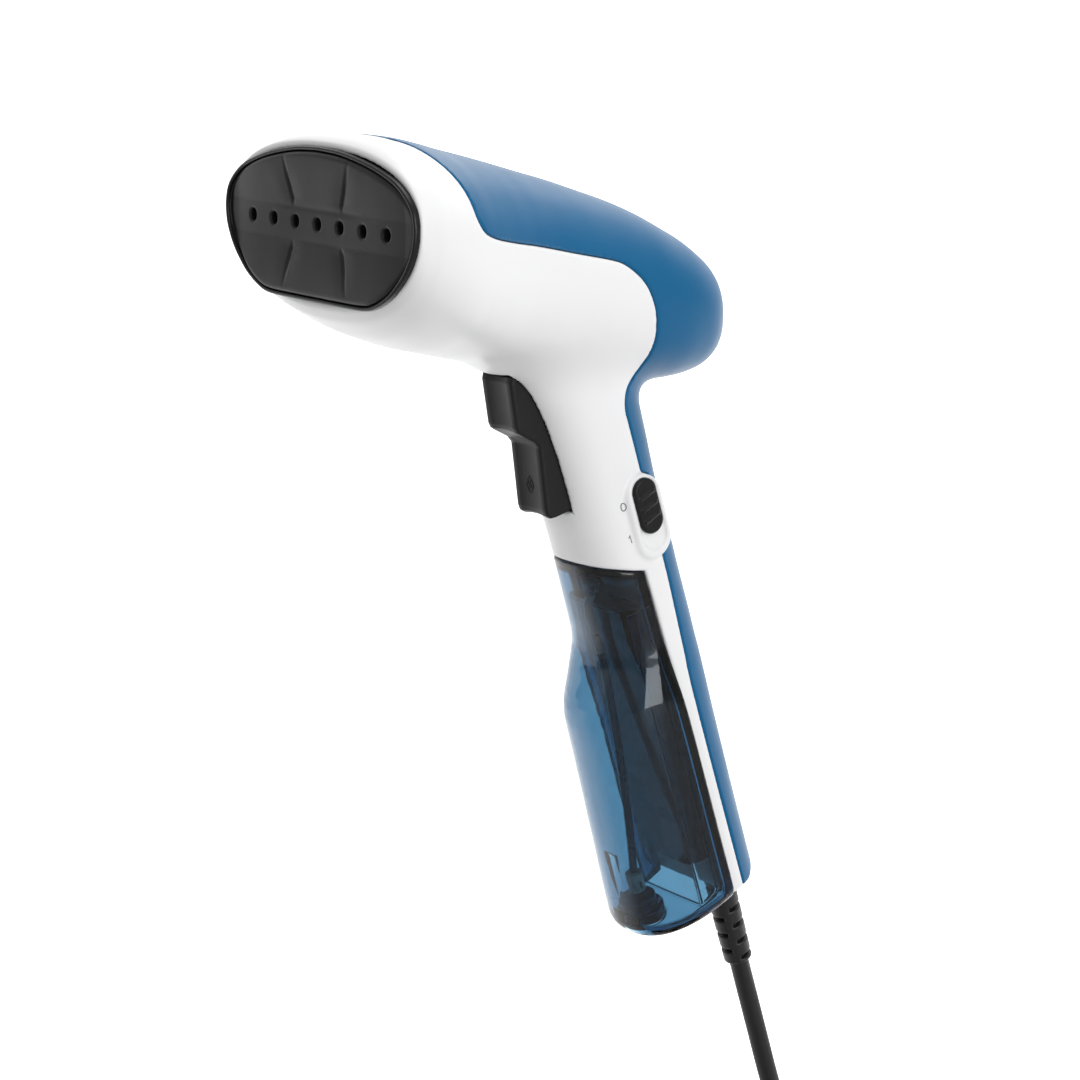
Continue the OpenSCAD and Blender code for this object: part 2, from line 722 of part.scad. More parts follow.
module tank_spigot() {
  color([0.12, 0.12, 0.13]) handle() difference() {
    translate([0, -11, 0]) union() {
      translate([0, 0, -5]) cylinder(r = 2.8, h = 17, $fn = 48);
      translate([0, 0, 6.4]) cylinder(r = 4.1, h = 1.6, $fn = 48);
    }
    translate([0, -11, -10]) cylinder(r = 1.3, h = 40, $fn = 48);
    translate([0, -11, -2.6]) rotate_extrude($fn = 48) translate([2.3, 0]) square([2, 1.6]);
  }
}

module spigot_seal() {
  color([0.55, 0.15, 0.12]) handle() translate([0, -11, -2.6]) rotate_extrude($fn = 48) translate([2.3, 0]) square([0.82, 1.6]);
}

module tank_shell() {
  color([0.2, 0.47, 0.62, 0.45]) render() difference() {
    intersection() {
      tank_loft(0);
      tank_room(-gap);
    }
    difference() {
      intersection() {
        tank_loft(tank_wall);
        tank_room(-gap - tank_wall);
      }
      handle() box([-core_x - 1.6, core_u - 1.6, -140], [core_x + 1.6, 5, -14.2]);
      handle() translate([0, -11, -9]) cylinder(r = 4.7, h = 20, $fn = 48);
      handle() translate([0, -25, -140]) cylinder(r = 8, h = 16, $fn = 48);
    }
    handle() box([-core_x - 0.4, core_u - 0.4, -140], [core_x + 0.4, 5, -15.6]);
    handle() translate([0, -11, -7]) cylinder(r = 3.2, h = 30, $fn = 48);
    handle() translate([0, -11, -12]) cylinder(r = 1.65, h = 12, $fn = 48);
    handle() translate([0, -25, -140]) cylinder(r = 6.1, h = 40, $fn = 48);
    handle() translate([0, -25, -145]) cylinder(r = 7.3, h = 17.4, $fn = 48);
  }
}

module pickup_tube() {
  color([0.75, 0.82, 0.86]) handle() sweep(smooth([[0, -11, -9.2], [0, -12.2, -10.8], [0, -13.9, -13.6], [0, -13.9, -22],
    [0, -13.9, -33], [0, -15.5, -50], [0, -19, -80], [0, -22, -100], [0, -24, -111]], 3), 1.35, 8);
}

module pickup_filter() {
  color([0.8, 0.8, 0.8]) handle() translate([0, -24.2, -118]) difference() {
    cylinder(r = 2.8, h = 6.9, $fn = 48);
    for (a = [0, 60, 120]) {
      rotate(a) translate([-5, -0.4, 1]) cube([10, 0.8, 3]);
    }
  }
}

module filler_plug() {
  color([0.1, 0.25, 0.36]) handle() translate([0, -25, 0]) union() {
    translate([0, 0, -129.4]) cylinder(r = 7.1, h = 1.7, $fn = 48);
    translate([0, 0, -127.7]) cylinder(r = 6.02, h = 8, $fn = 48);
    translate([-5, -1, -131.2]) cube([10, 2, 2]);
  }
}

module cord_clamp() {
  color([0.15, 0.15, 0.16]) handle() difference() {
    box([-9.5, 9.2, -106], [9.5, 13.6, -98]);
    translate([0, 9, -110]) cylinder(r = cord_d / 2 + 0.05, h = 20, $fn = 48);
    for (s = [-1, 1]) {
      yrod(s * 6.6, -102, 1.5, 1, 16);
      yrod(s * 6.6, -102, 2.4, 12.3, 16);
    }
  }
}

module clamp_screws() {
  color([0.5, 0.5, 0.52]) handle() for (s = [-1, 1]) {
    yrod(s * 6.6, -102, 1.28, 2, 12.3);
    yrod(s * 6.6, -102, 2.3, 12.3, 13.6);
  }
}

relief_turn = 52;
module strain_relief() {
  color([0.07, 0.07, 0.07]) handle() translate([0, 9, 0]) difference() {
    union() {
      translate([0, 0, -166]) cylinder(r1 = 5, r2 = 5.5, h = 41, $fn = 48);
      translate([0, 0, -125]) cylinder(r = 5.5, h = 5, $fn = 48);
      translate([0, 0, -121.4]) cylinder(r = 6.2, h = 3, $fn = 48);
    }
    translate([0, 0, -170]) cylinder(r = cord_d / 2 + 0.02, h = 60, $fn = 48);
    for (i = [0:5]) {
      rotate(relief_turn) translate([1.4, -7, -131.4 - i * 6.6]) cube([8, 14, 1.5]);
      rotate(relief_turn + 180) translate([1.4, -7, -134.7 - i * 6.6]) cube([8, 14, 1.5]);
    }
  }
}

CORD = [grip_pt(0, 9, -97.8), grip_pt(0, 9, -130), grip_pt(0, 9, -166), grip_pt(0, 9, -200), grip_pt(0, 9.4, -228),
  [3, 93, -236], [10, 101, -254], [24, 105, -264.5], [42, 106.2, -268], [58, 106.2, -268.2]];
module power_cord() {
  color([0.08, 0.08, 0.08]) sweep(smooth(CORD, 5), cord_d / 2, 10);
}

module cord_coil() {
  color([0.08, 0.08, 0.08]) translate([60, 66, floor_z]) rotate_extrude($fn = 64) translate([37, 10]) circle(r = 10, $fn = 24);
}

module cord_tie() {
  color([0.2, 0.2, 0.21]) translate([97, 66, floor_z + 10]) rotate([90, 0, 0]) translate([0, 0, -3]) difference() {
    intersection() {
      cylinder(r = 11.1, h = 6, $fn = 48);
      translate([-12, -9.9, 0]) cube([24, 22, 6]);
    }
    translate([0, 0, -1]) cylinder(r = 9.99, h = 8, $fn = 48);
  }
}

TAIL = [[56, 27, -260], [49, 25.4, -257], [38, 21.6, -255.6], [28, 13.6, -255.2], [22, 3.6, -255], [20, -4, -255],
  [20, -7.8, -255]];
module cord_tail() {
  color([0.08, 0.08, 0.08]) sweep(smooth(TAIL, 3), cord_d / 2, 10);
}

module plug_body() {
  color([0.08, 0.08, 0.08]) translate([20, -16, -255]) union() {
    translate([0, 8, 0]) rotate([90, 0, 0]) cylinder(r1 = 5, r2 = 8, h = 14, $fn = 48);
    translate([0, -6, 0]) rotate([90, 0, 0]) cylinder(r1 = 12, r2 = 16.9, h = 8, $fn = 64);
    translate([0, -14, 0]) rotate([90, 0, 0]) cylinder(r = 16.9, h = 16, $fn = 64);
  }
}

module plug_pins() {
  color([0.78, 0.78, 0.76]) translate([20, -46, -255]) for (s = [-1, 1]) {
    translate([s * 9.5, 0, 0]) rotate([90, 0, 0]) union() {
      cylinder(r = 2.4, h = 17.5, $fn = 48);
      translate([0, 0, 17.5]) cylinder(r1 = 2.4, r2 = 1.4, h = 1.5, $fn = 48);
    }
  }
}

front_housing();
rear_cover();
steam_plate();
plate_rim();
boiler_body();
heating_element();
lid_seal();
boiler_lid();
lid_screws();
thermostat();
thermal_fuse();
boiler_cradle();
cradle_screws();
heat_shield();
pump_frame();
pump_coil();
pump_tube();
pump_piston();
pump_spring();
check_valve();
inlet_hose();
outlet_hose();
inner_chassis();
micro_switch();
micro_plunger();
trigger();
trigger_pin();
trigger_spring();
power_knob();
knob_lever();
switch_body();
terminal_block();
wire_brown();
wire_blue();
cover_screws();
tank_core();
tank_spigot();
spigot_seal();
tank_shell();
pickup_tube();
pickup_filter();
filler_plug();
cord_clamp();
clamp_screws();
strain_relief();
power_cord();
cord_coil();
cord_tie();
cord_tail();
plug_body();
plug_pins();
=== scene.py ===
import bpy
import math
import numpy as np
from mathutils import Matrix, Vector


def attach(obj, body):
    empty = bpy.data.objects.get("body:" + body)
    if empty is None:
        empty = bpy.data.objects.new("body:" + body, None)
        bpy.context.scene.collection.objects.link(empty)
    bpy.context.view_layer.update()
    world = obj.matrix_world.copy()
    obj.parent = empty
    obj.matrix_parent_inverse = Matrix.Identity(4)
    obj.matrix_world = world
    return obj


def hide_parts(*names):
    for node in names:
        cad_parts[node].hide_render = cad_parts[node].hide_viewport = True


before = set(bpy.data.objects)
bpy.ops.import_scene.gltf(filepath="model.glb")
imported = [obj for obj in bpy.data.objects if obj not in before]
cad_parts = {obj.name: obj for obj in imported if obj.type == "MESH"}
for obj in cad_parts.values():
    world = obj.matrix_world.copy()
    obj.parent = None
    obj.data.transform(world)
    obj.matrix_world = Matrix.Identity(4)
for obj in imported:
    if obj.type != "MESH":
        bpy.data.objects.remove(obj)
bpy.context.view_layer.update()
MM = 0.001

# ---------------------------------------------------------------- camera
cam_data = bpy.data.cameras.new("camera")
cam_data.lens = 93.33
cam_data.sensor_width = 36.0
cam_data.clip_start = 0.01
cam_data.clip_end = 60.0
cam = bpy.data.objects.new("camera", cam_data)
bpy.context.scene.collection.objects.link(cam)
AZ, EL, ROLL = math.radians(52.25), math.radians(11.56), math.radians(1.6)
back = Vector((math.sin(AZ) * math.cos(EL), -math.cos(AZ) * math.cos(EL), math.sin(EL)))
right = Vector((math.cos(AZ), math.sin(AZ), 0))
up = back.cross(right)
right2 = math.cos(ROLL) * right + math.sin(ROLL) * up
up2 = math.cos(ROLL) * up - math.sin(ROLL) * right
rot = Matrix((right2, up2, back)).transposed().to_4x4()
cam.matrix_world = Matrix.Translation((0.6993, -0.5714, 0.1877)) @ rot
bpy.context.scene.camera = cam

# ---------------------------------------------------------------- frames, in millimetres
TILT = math.radians(19.5)
ST, CT = math.sin(TILT), math.cos(TILT)
PY, PZ = -116.5, 111.2  # middle of the steam plate
FLOOR = -272.0


def grip_world(p):
    """handle frame (x, depth, height) to the row frame"""
    p = np.asarray(p, float)
    return np.stack([p[..., 0], p[..., 1] * CT - p[..., 2] * ST, p[..., 1] * ST + p[..., 2] * CT], -1)


def world_grip(p):
    return np.stack([p[..., 0], p[..., 1] * CT + p[..., 2] * ST, -p[..., 1] * ST + p[..., 2] * CT], -1)


# ---------------------------------------------------------------- body sections, close to the CAD part's
# barrel: back from the plate, top, bottom, half width, height of the widest place, exponent
HEAD = np.array([
    (-4, 23.0, -23.0, 51.0, 2, 2.3),
    (1.2, 24.4, -25.4, 51.8, 2, 2.3),
    (4, 25.6, -28.4, 52.0, 1.6, 2.3),
    (8, 26.3, -31.0, 52.0, 1, 2.3),
    (13, 26.4, -33.8, 51.2, 0, 2.3),
    (20, 26.0, -36.5, 49.5, -2, 2.3),
    (27, 24.7, -38.7, 47.3, -4, 2.3),
    (35, 22.8, -40.5, 44.5, -6, 2.25),
    (45, 20.6, -42.6, 41.0, -8.5, 2.25),
    (55, 18.3, -44.5, 38.0, -11, 2.2),
    (67, 15.3, -46.8, 35.2, -14.5, 2.2),
    (80, 12.1, -49.0, 33.0, -18, 2.15),
    (92, 8.7, -50.9, 31.4, -22, 2.15),
    (105, 4.8, -52.5, 30.0, -26, 2.15),
    (116, 0.6, -53.6, 28.8, -29, 2.2),
    (125, -3.6, -54.0, 27.5, -31, 2.2),
    (132, -7.0, -53.6, 25.8, -32, 2.2),
    (138, -10.8, -52.5, 23.5, -33, 2.25),
    (143, -14.4, -50.7, 20.2, -33.5, 2.3),
    (147, -18.5, -48.0, 16.0, -34, 2.3),
    (149.5, -23.0, -44.2, 10.5, -34, 2.3),
    (151, -30.5, -37.5, 3.0, -34, 2.3),
    (156, -33.5, -34.5, 0.5, -34, 2.3)], float)
# handle: height along it, front, back, half width of the tank, half width of the housing
GRIP = np.array([
    (-150, -33.6, 17.4, 24.6, 22.4),
    (-127, -33.2, 17.5, 24.6, 22.4),
    (-100, -32.0, 17.7, 24.3, 22.0),
    (-65, -30.4, 18.2, 24.0, 21.4),
    (-53, -30.0, 18.6, 23.6, 21.1),
    (-47.5, -28.8, 18.8, 23.1, 20.9),
    (-44, -27.0, 18.9, 22.6, 20.8),
    (-40, -24.6, 19.0, 22.0, 20.6),
    (-36, -22.3, 19.0, 21.4, 20.5),
    (-32, -20.0, 19.1, 20.9, 20.3),
    (-28, -18.3, 19.2, 20.4, 20.2),
    (-22, -17.7, 19.3, 20.1, 20.0),
    (-15, -17.7, 19.3, 19.8, 19.8),
    (-2, -17.7, 19.6, 19.2, 19.2),
    (5, -17.5, 19.7, 18.8, 18.8),
    (20, -18.0, 19.6, 18.4, 18.4),
    (40, -18.4, 20.5, 18.4, 18.4),
    (55, -19.8, 21.0, 18.5, 18.5),
    (68, -22.8, 21.2, 18.7, 18.7),
    (90, -33.0, 21.2, 19.0, 19.0),
    (100, -36.0, 21.2, 19.0, 19.0)], float)
# half of the steam plate's outline
PLATE = np.array([(0, 21.5), (12, 20.9), (25, 18.8), (34, 16.5), (41, 13.9), (46, 10.5), (49, 6.9),
                  (50, 2.4), (49.5, -2.1), (48, -5.8), (45.5, -9.7), (42, -13.4), (37.5, -17.1),
                  (31, -20.4), (25, -21.7), (12, -21.9), (0, -21.9)], float)
# seam between the white and the blue housing: on the barrel, then down the handle
SEAM = [(15.6, 60), (15.6, 29), (16.6, 25.7), (17.9, 24.2), (19.3, 20.7), (20.8, 16.8), (22, 13.2),
        (22.9, 9.8), (24.2, 5), (27, 1.1), (30.9, -0.8), (35.9, -2.1), (44.4, -3.6), (54.4, -5.1),
        (73, -8.5), (88, -11.2), (94, -13), (100, -16.8), (104, -21.2), (106.8, -27),
        (108.2, -33), (108.9, -38), (109, -44), (108.2, -49.5), (106.4, -55), (106.1, -60.8)]
SEAM_GRIP = [(7, 46), (7.1, 30), (7, 0), (5, -33), (3.6, -60), (3.6, -170)]
WALL = 2.2
BLEND = 9.0  # how softly the barrel runs into the handle
TIP = 150.6  # back end of the barrel, from the plate
CU = -2.0  # depth of the handle sections' middle, and of the tank's back
SPIGOT_U, FILLER_U, CORD_U, KNOB_U = -11, -25, 9, 4.4  # depths in the handle
PAD_W, PAD_HALF, PAD_R, PAD_X = 14.4, 7.5, 7.1, 20.2  # the raised pad round the knob
GRIP_FOOT, TANK_FOOT = -126, -133
SLOT_X = 8.4  # half width of the trigger's opening
COVER_SCREWS = (-88.0, -12.0)
POST_R, POST_END = 5.4, 9.6
CORD_R = 3.5
PLUG_AT = (20, -16, -255)


def hermite(tab, x):
    """monotone cubic through the rows of tab, at x"""
    xs, ys = tab[:, 0], tab[:, 1:]
    h = np.diff(xs)[:, None]
    d = np.diff(ys, axis=0) / h
    m = np.zeros_like(ys)
    same = d[:-1] * d[1:] > 0
    w1, w2 = 2 * h[1:] + h[:-1], h[1:] + 2 * h[:-1]
    with np.errstate(divide="ignore", invalid="ignore"):
        mid = (w1 + w2) / (w1 / d[:-1] + w2 / d[1:])
    m[1:-1] = np.where(same, mid, 0)
    m[0], m[-1] = d[0], d[-1]
    x = np.clip(x, xs[0], xs[-1])
    i = np.clip(np.searchsorted(xs, x, side="right") - 1, 0, len(xs) - 2)
    hh = h[i]
    t = ((x - xs[i])[:, None]) / hh
    a, b = ys[i], ys[i + 1]
    return ((2 * t ** 3 - 3 * t ** 2 + 1) * a + (t ** 3 - 2 * t ** 2 + t) * hh * m[i]
            + (3 * t ** 2 - 2 * t ** 3) * b + (t ** 3 - t ** 2) * hh * m[i + 1])


class Table:
    """a dense look-up of hermite(tab), for speed"""
    def __init__(self, tab, step=0.25):
        self.lo, self.step = tab[0, 0], step
        self.n = int((tab[-1, 0] - tab[0, 0]) / step)
        self.v = hermite(tab, self.lo + np.arange(self.n + 1) * step).astype(np.float32)

    def __call__(self, x):
        f = np.clip((x - self.lo) / self.step, 0, self.n - 1e-3)
        i = f.astype(np.int32)
        t = (f - i)[:, None].astype(np.float32)
        return self.v[i] * (1 - t) + self.v[i + 1] * t


HEAD_T, GRIP_T = Table(HEAD), Table(GRIP)


def ratio_head(p):
    zt, zb, hw, zc, e = HEAD_T(p[:, 1] - PY).T
    dz = p[:, 2] - PZ - zc
    h = np.where(dz > 0, zt - zc, zc - zb)
    return (np.abs(p[:, 0] / hw) ** e + np.abs(dz / h) ** e) ** (1 / e)


def ratio_grip(p, tank):
    """p in the handle frame"""
    uf, ub, hwt, hwb = GRIP_T(p[:, 2]).T
    du = p[:, 1] - CU
    h = np.where(du > 0, ub - CU, CU - uf)
    hw = hwt if tank else hwb
    return (np.abs(p[:, 0] / hw) ** 2.3 + np.abs(du / h) ** 2.3) ** (1 / 2.3)


def near(f, p):
    """distance to the surface f = 1, to first order"""
    e = 0.25
    v = f(p)
    g = np.zeros(len(p), np.float32)
    for k in range(3):
        q = p.copy()
        q[:, k] += e
        g += ((f(q) - v) / e) ** 2
    return (v - 1) / np.sqrt(np.maximum(g, 1e-5))


def smin(a, b, k):
    h = np.maximum(k - np.abs(a - b), 0) / k
    return np.minimum(a, b) - h * h * k * 0.25


def smax(a, b, k):
    return -smin(-a, -b, k)


def poly_sdf(pts, p):
    """signed distance to a closed polygon, negative inside; p is (n, 2)"""
    pts = np.asarray(pts, float)
    d = np.full(len(p), 1e9)
    inside = np.zeros(len(p), bool)
    for i in range(len(pts)):
        a, b = pts[i], pts[i - 1]
        e = b - a
        w = p - a
        t = np.clip((w @ e) / (e @ e), 0, 1)
        q = w - t[:, None] * e
        d = np.minimum(d, (q ** 2).sum(1))
        c = (p[:, 1] >= a[1]) != (p[:, 1] >= b[1])
        if abs(e[1]) > 1e-9:
            inside ^= c & (p[:, 0] < a[0] + (p[:, 1] - a[1]) * e[0] / e[1])
    return np.where(inside, -1, 1) * np.sqrt(d)


def curve_points(pts, n, closed=False):
    """Catmull-Rom through pts, n steps a span"""
    P = np.asarray(pts, float)
    m = len(P)
    out = []
    for i in range(m if closed else m - 1):
        a = P[(i - 1) % m] if closed else P[max(i - 1, 0)]
        b, c = P[i], P[(i + 1) % m]
        d = P[(i + 2) % m] if closed else P[min(i + 2, m - 1)]
        for j in range(n):
            t = j / n
            out.append(0.5 * (2 * b + (c - a) * t + (2 * a - 5 * b + 4 * c - d) * t * t
                              + (3 * b - a - 3 * c + d) * t ** 3))
    if not closed:
        out.append(P[-1])
    return np.array(out)


class Field2D:
    """a signed distance to a polygon, kept on a grid and looked up bilinearly"""
    def __init__(self, pts, lo, hi, step=0.25):
        self.lo, self.step = np.array(lo, float), step
        n = [int((hi[k] - lo[k]) / step) + 2 for k in (0, 1)]
        axes = [lo[k] + np.arange(n[k]) * step for k in (0, 1)]
        g = np.stack(np.meshgrid(*axes, indexing="ij"), -1)
        self.v = poly_sdf(pts, g.reshape(-1, 2)).reshape(n).astype(np.float32)
        self.n = n

    def __call__(self, a, b):
        x = np.clip((a - self.lo[0]) / self.step, 0, self.n[0] - 1.001)
        y = np.clip((b - self.lo[1]) / self.step, 0, self.n[1] - 1.001)
        i, j = x.astype(np.int32), y.astype(np.int32)
        s, t = (x - i).astype(np.float32), (y - j).astype(np.float32)
        v = self.v
        return (v[i, j] * (1 - s) * (1 - t) + v[i + 1, j] * s * (1 - t) + v[i, j + 1] * (1 - s) * t
                + v[i + 1, j + 1] * s * t)


plate_half = curve_points(PLATE, 4)
plate_loop = np.concatenate([plate_half, (plate_half * [-1, 1])[-2:0:-1]])
PLATE_F = Field2D(plate_loop, (-60, -32), (60, 32), 0.2)
seam_loop = [(a + PY, b + PZ) for a, b in SEAM] + [tuple(grip_world((0, u, w))[1:]) for u, w in SEAM_GRIP]
seam_run = curve_points(seam_loop, 4)
SEAM_F = Field2D(np.concatenate([seam_run, [(-260, -240), (-260, 220)]]), (-130, -160), (90, 150), 0.35)
ROOM = [(-70, 28.125), (CU, -2.475), (CU, -240), (-70, -240)]
ROOM_F = Field2D(ROOM, (-50, -150), (30, 40), 0.3)


def body(p):
    """the whole outside of the two housings; p in the row frame"""
    h = near(ratio_head, p)
    g = near(lambda q: ratio_grip(q, False), world_grip(p).astype(np.float32))
    q = world_grip(p)
    g = smax(g, q[:, 2] - 84, 6)
    h = smax(h, p[:, 1] - PY - TIP, 5.0)
    h = np.maximum(h, 55 - p[:, 2])
    return smin(h, g, BLEND)


def stadium(a, b, ca, cb, half, r):
    """rounded slot along b"""
    return np.hypot(a - ca, np.maximum(np.abs(b - cb) - half, 0)) - r


def pad(q):
    """the raised pad that the knob slides in; q in the handle frame"""
    d = stadium(q[:, 1], q[:, 2], KNOB_U, PAD_W, PAD_HALF, PAD_R)
    return smax(smax(d, q[:, 0] - PAD_X, 1.6), 8 - q[:, 0], 0.5)


def shell(p):
    """both housings as one hollow body, with its openings"""
    q = world_grip(p)
    b0 = body(p)
    b = smin(b0, pad(q), 1.6)
    inner = np.maximum(b0 + WALL, p[:, 1] - PY - 147.8)
    room = ROOM_F(q[:, 1], q[:, 2])
    space = np.maximum(np.maximum(inner, WALL - room), -121.5 - q[:, 2])
    s = smax(b, -space, 0.5)
    s = smax(s, 0.4 * np.clip(q[:, 1] - 8, 0, 11) + GRIP_FOOT - q[:, 2], 1.2)
    s = smax(s, -room, 0.9)
    y = p[:, 1] - PY
    lip = np.maximum(PLATE_F(p[:, 0], p[:, 2] - PZ) + 0.5, y - 8)
    s = smax(s, -lip, 0.5)
    s = smax(s, 1.2 - y, 0.9)
    slot = np.maximum(np.abs(q[:, 0]) - SLOT_X, TRIG_SLOT(q[:, 1], q[:, 2]))
    s = smax(s, -slot, 0.7)
    rec = np.maximum(stadium(q[:, 1], q[:, 2], KNOB_U, 15.7, 8, 4.9), 19.4 - q[:, 0])
    s = smax(s, -rec, 0.5)
    hole = np.hypot(q[:, 0], q[:, 1] - CORD_U) - 5.6
    s = smax(s, -np.maximum(hole, q[:, 2] + 120), 0.4)
    sp = np.maximum(np.hypot(q[:, 0], q[:, 1] - SPIGOT_U) - 2.85, -q[:, 2] - 8)
    return np.maximum(s, -np.maximum(sp, q[:, 2] - 12))


TRIG_SLOT = Field2D([(-60, 23.4), (-5.6, 23.4), (-5.6, 62), (-4, 76), (-60, 76)], (-40, 10), (20, 90), 0.3)


def white_field(p):
    q = world_grip(p)
    on_pad = np.maximum(stadium(q[:, 1], q[:, 2], KNOB_U, PAD_W, PAD_HALF, PAD_R), 8 - q[:, 0])
    return smax(shell(p), np.minimum(SEAM_F(p[:, 1], p[:, 2]) + 0.04, on_pad), 0.7)


def blue_field(p):
    q = world_grip(p)
    s = smax(shell(p), -SEAM_F(p[:, 1], p[:, 2]) + 0.16, 0.7)
    clear = stadium(q[:, 1], q[:, 2], KNOB_U, PAD_W, PAD_HALF, 7.3)
    s = smax(s, -np.maximum(clear, 8 - q[:, 0]), 0.5)
    for w in COVER_SCREWS:
        r = np.hypot(q[:, 0], q[:, 2] - w)
        post = np.maximum(np.maximum(r - POST_R, POST_END - q[:, 1]), q[:, 1] - 17.4)
        s = np.minimum(s, post)
        s = smax(s, -np.maximum(r - 3.7, 12 - q[:, 1]), 0.5)
        s = np.maximum(s, -np.maximum(r - 1.8, 5 - q[:, 1]))
    return s


def lean(w):
    """how fast the tank's sections rise towards the back, more so lower down"""
    return np.where(w > -60, 0, 0.22 * (-60 - w) / 73)


def tank_body(q):
    """outside of the tank; q in the handle frame"""
    w = q[:, 2] - lean(q[:, 2]) * (q[:, 1] + 33)
    p = np.stack([q[:, 0], q[:, 1], w], -1).astype(np.float32)
    side = near(lambda v: ratio_grip(v, True), p)
    return smax(side, TANK_FOOT - w, 6.0)


def tank_field(q):
    b = tank_body(q)
    room = ROOM_F(q[:, 1], q[:, 2])
    out = smax(b, room + 0.25, 1.0)
    inner = smax(b + 1.8, room + 2.05, 3.0)
    chan = np.maximum(np.maximum(np.abs(q[:, 0]) - 16.1, -11.6 - q[:, 1]), q[:, 2] + 14.2)
    inner = smax(inner, -chan, 1.2)
    inner = smax(inner, -np.maximum(np.hypot(q[:, 0], q[:, 1] - SPIGOT_U) - 4.7, -9 - q[:, 2]), 0.8)
    inner = smax(inner, -np.maximum(np.hypot(q[:, 0], q[:, 1] - FILLER_U) - 8, q[:, 2] + 124), 0.8)
    s = smax(out, -inner, 0.3)
    cut = np.maximum(np.maximum(np.abs(q[:, 0]) - 14.9, -10.4 - q[:, 1]), q[:, 2] + 15.6)
    s = smax(s, -cut, 0.4)
    s = np.maximum(s, -np.maximum(np.hypot(q[:, 0], q[:, 1] - SPIGOT_U) - 3.2, -7 - q[:, 2]))
    s = np.maximum(s, -np.maximum(np.hypot(q[:, 0], q[:, 1] - SPIGOT_U) - 1.65, -12 - q[:, 2]))
    s = np.maximum(s, -np.maximum(np.hypot(q[:, 0], q[:, 1] - FILLER_U) - 6.1, q[:, 2] + 100))
    return smax(s, -np.maximum(np.hypot(q[:, 0], q[:, 1] - FILLER_U) - 7.3, q[:, 2] + 127.6), 0.3)


# ---------------------------------------------------------------- surface from a field
def surface(field, lo, hi, step, coarse=4):
    """vertices and quads of field = 0 inside a box; only blocks near the surface are sampled"""
    lo, hi = np.array(lo, float), np.array(hi, float)
    n = np.ceil((hi - lo) / step).astype(int) + 2
    n = (n + coarse - 1) // coarse * coarse + 1
    m = (n - 1) // coarse + 1
    axes = [lo[k] + np.arange(m[k]) * step * coarse for k in range(3)]
    g = np.stack(np.meshgrid(*axes, indexing="ij"), -1).reshape(-1, 3)
    val = sample(field, g).reshape(m)
    live = np.abs(val) < step * coarse * 1.45
    block = np.zeros(m - 1, bool)
    for a in (0, 1):
        for b in (0, 1):
            for c in (0, 1):
                block |= live[a:m[0] - 1 + a, b:m[1] - 1 + b, c:m[2] - 1 + c]
    nodes = np.zeros(n, bool)
    for i, j, k in np.argwhere(block) * coarse:
        nodes[i:i + coarse + 1, j:j + coarse + 1, k:k + coarse + 1] = True
    v = np.full(n, np.nan, np.float32)
    idx = np.argwhere(nodes)
    v[tuple(idx.T)] = sample(field, lo + idx * step)
    inside = v < 0
    known = ~np.isnan(v)
    s = lambda a, d: a[d[0]:n[0] - 1 + d[0], d[1]:n[1] - 1 + d[1], d[2]:n[2] - 1 + d[2]]
    corners = [(a, b, c) for a in (0, 1) for b in (0, 1) for c in (0, 1)]
    allin, anyin, ok = np.ones(n - 1, bool), np.zeros(n - 1, bool), np.ones(n - 1, bool)
    for d in corners:
        allin &= s(inside, d)
        anyin |= s(inside, d)
        ok &= s(known, d)
    cell = ok & anyin & ~allin
    ids = np.full(n - 1, -1, np.int64)
    cidx = np.argwhere(cell)
    ids[tuple(cidx.T)] = np.arange(len(cidx))
    acc, cnt = np.zeros((len(cidx), 3)), np.zeros(len(cidx))
    for a in corners:
        for k in range(3):
            if a[k]:
                continue
            b = list(a)
            b[k] = 1
            va = v[tuple((cidx + a).T)]
            vb = v[tuple((cidx + b).T)]
            cross = (va < 0) != (vb < 0)
            t = np.where(cross, va / np.where(cross, va - vb, 1), 0)
            p = cidx + a + np.zeros(3)
            p[:, k] += t
            acc += np.where(cross[:, None], p, 0)
            cnt += cross
    verts = lo + acc / cnt[:, None] * step
    quads = []
    for k in range(3):
        e1, e2 = [(1, 2), (2, 0), (0, 1)][k]
        sl0 = [slice(1, n[i] - 1) for i in range(3)]
        sl0[k] = slice(0, n[k] - 1)
        sl1 = list(sl0)
        sl1[k] = slice(1, n[k])
        A, B = v[tuple(sl0)], v[tuple(sl1)]
        up_, dn = (A < 0) & (B >= 0), (A >= 0) & (B < 0)
        for mask, flip in ((up_, False), (dn, True)):
            e = np.argwhere(mask)
            e += [0 if i == k else 1 for i in range(3)]
            o = [e.copy() for _ in range(4)]
            o[1][:, e1] -= 1
            o[2][:, e1] -= 1
            o[2][:, e2] -= 1
            o[3][:, e2] -= 1
            qd = np.stack([ids[tuple(c.T)] for c in o], 1)
            qd = qd[(qd >= 0).all(1)]
            quads.append(qd[:, ::-1] if flip else qd)
    quads = np.concatenate(quads)
    for _ in range(2):
        e = step * 0.2
        f0 = sample(field, verts)
        grad = np.zeros_like(verts)
        for k in range(3):
            q = verts.copy()
            q[:, k] += e
            q2 = verts.copy()
            q2[:, k] -= e
            grad[:, k] = (sample(field, q) - sample(field, q2)) / (2 * e)
        mag = np.maximum((grad ** 2).sum(1), 0.15)
        move = -(f0 / mag)[:, None] * grad
        size = np.linalg.norm(move, axis=1)
        move *= np.minimum(1, step * 0.6 / np.maximum(size, 1e-9))[:, None]
        verts = verts + move
    return verts, quads


def sample(field, pts, chunk=400000):
    out = np.empty(len(pts), np.float32)
    for i in range(0, len(pts), chunk):
        out[i:i + chunk] = field(pts[i:i + chunk].astype(np.float32))
    return out


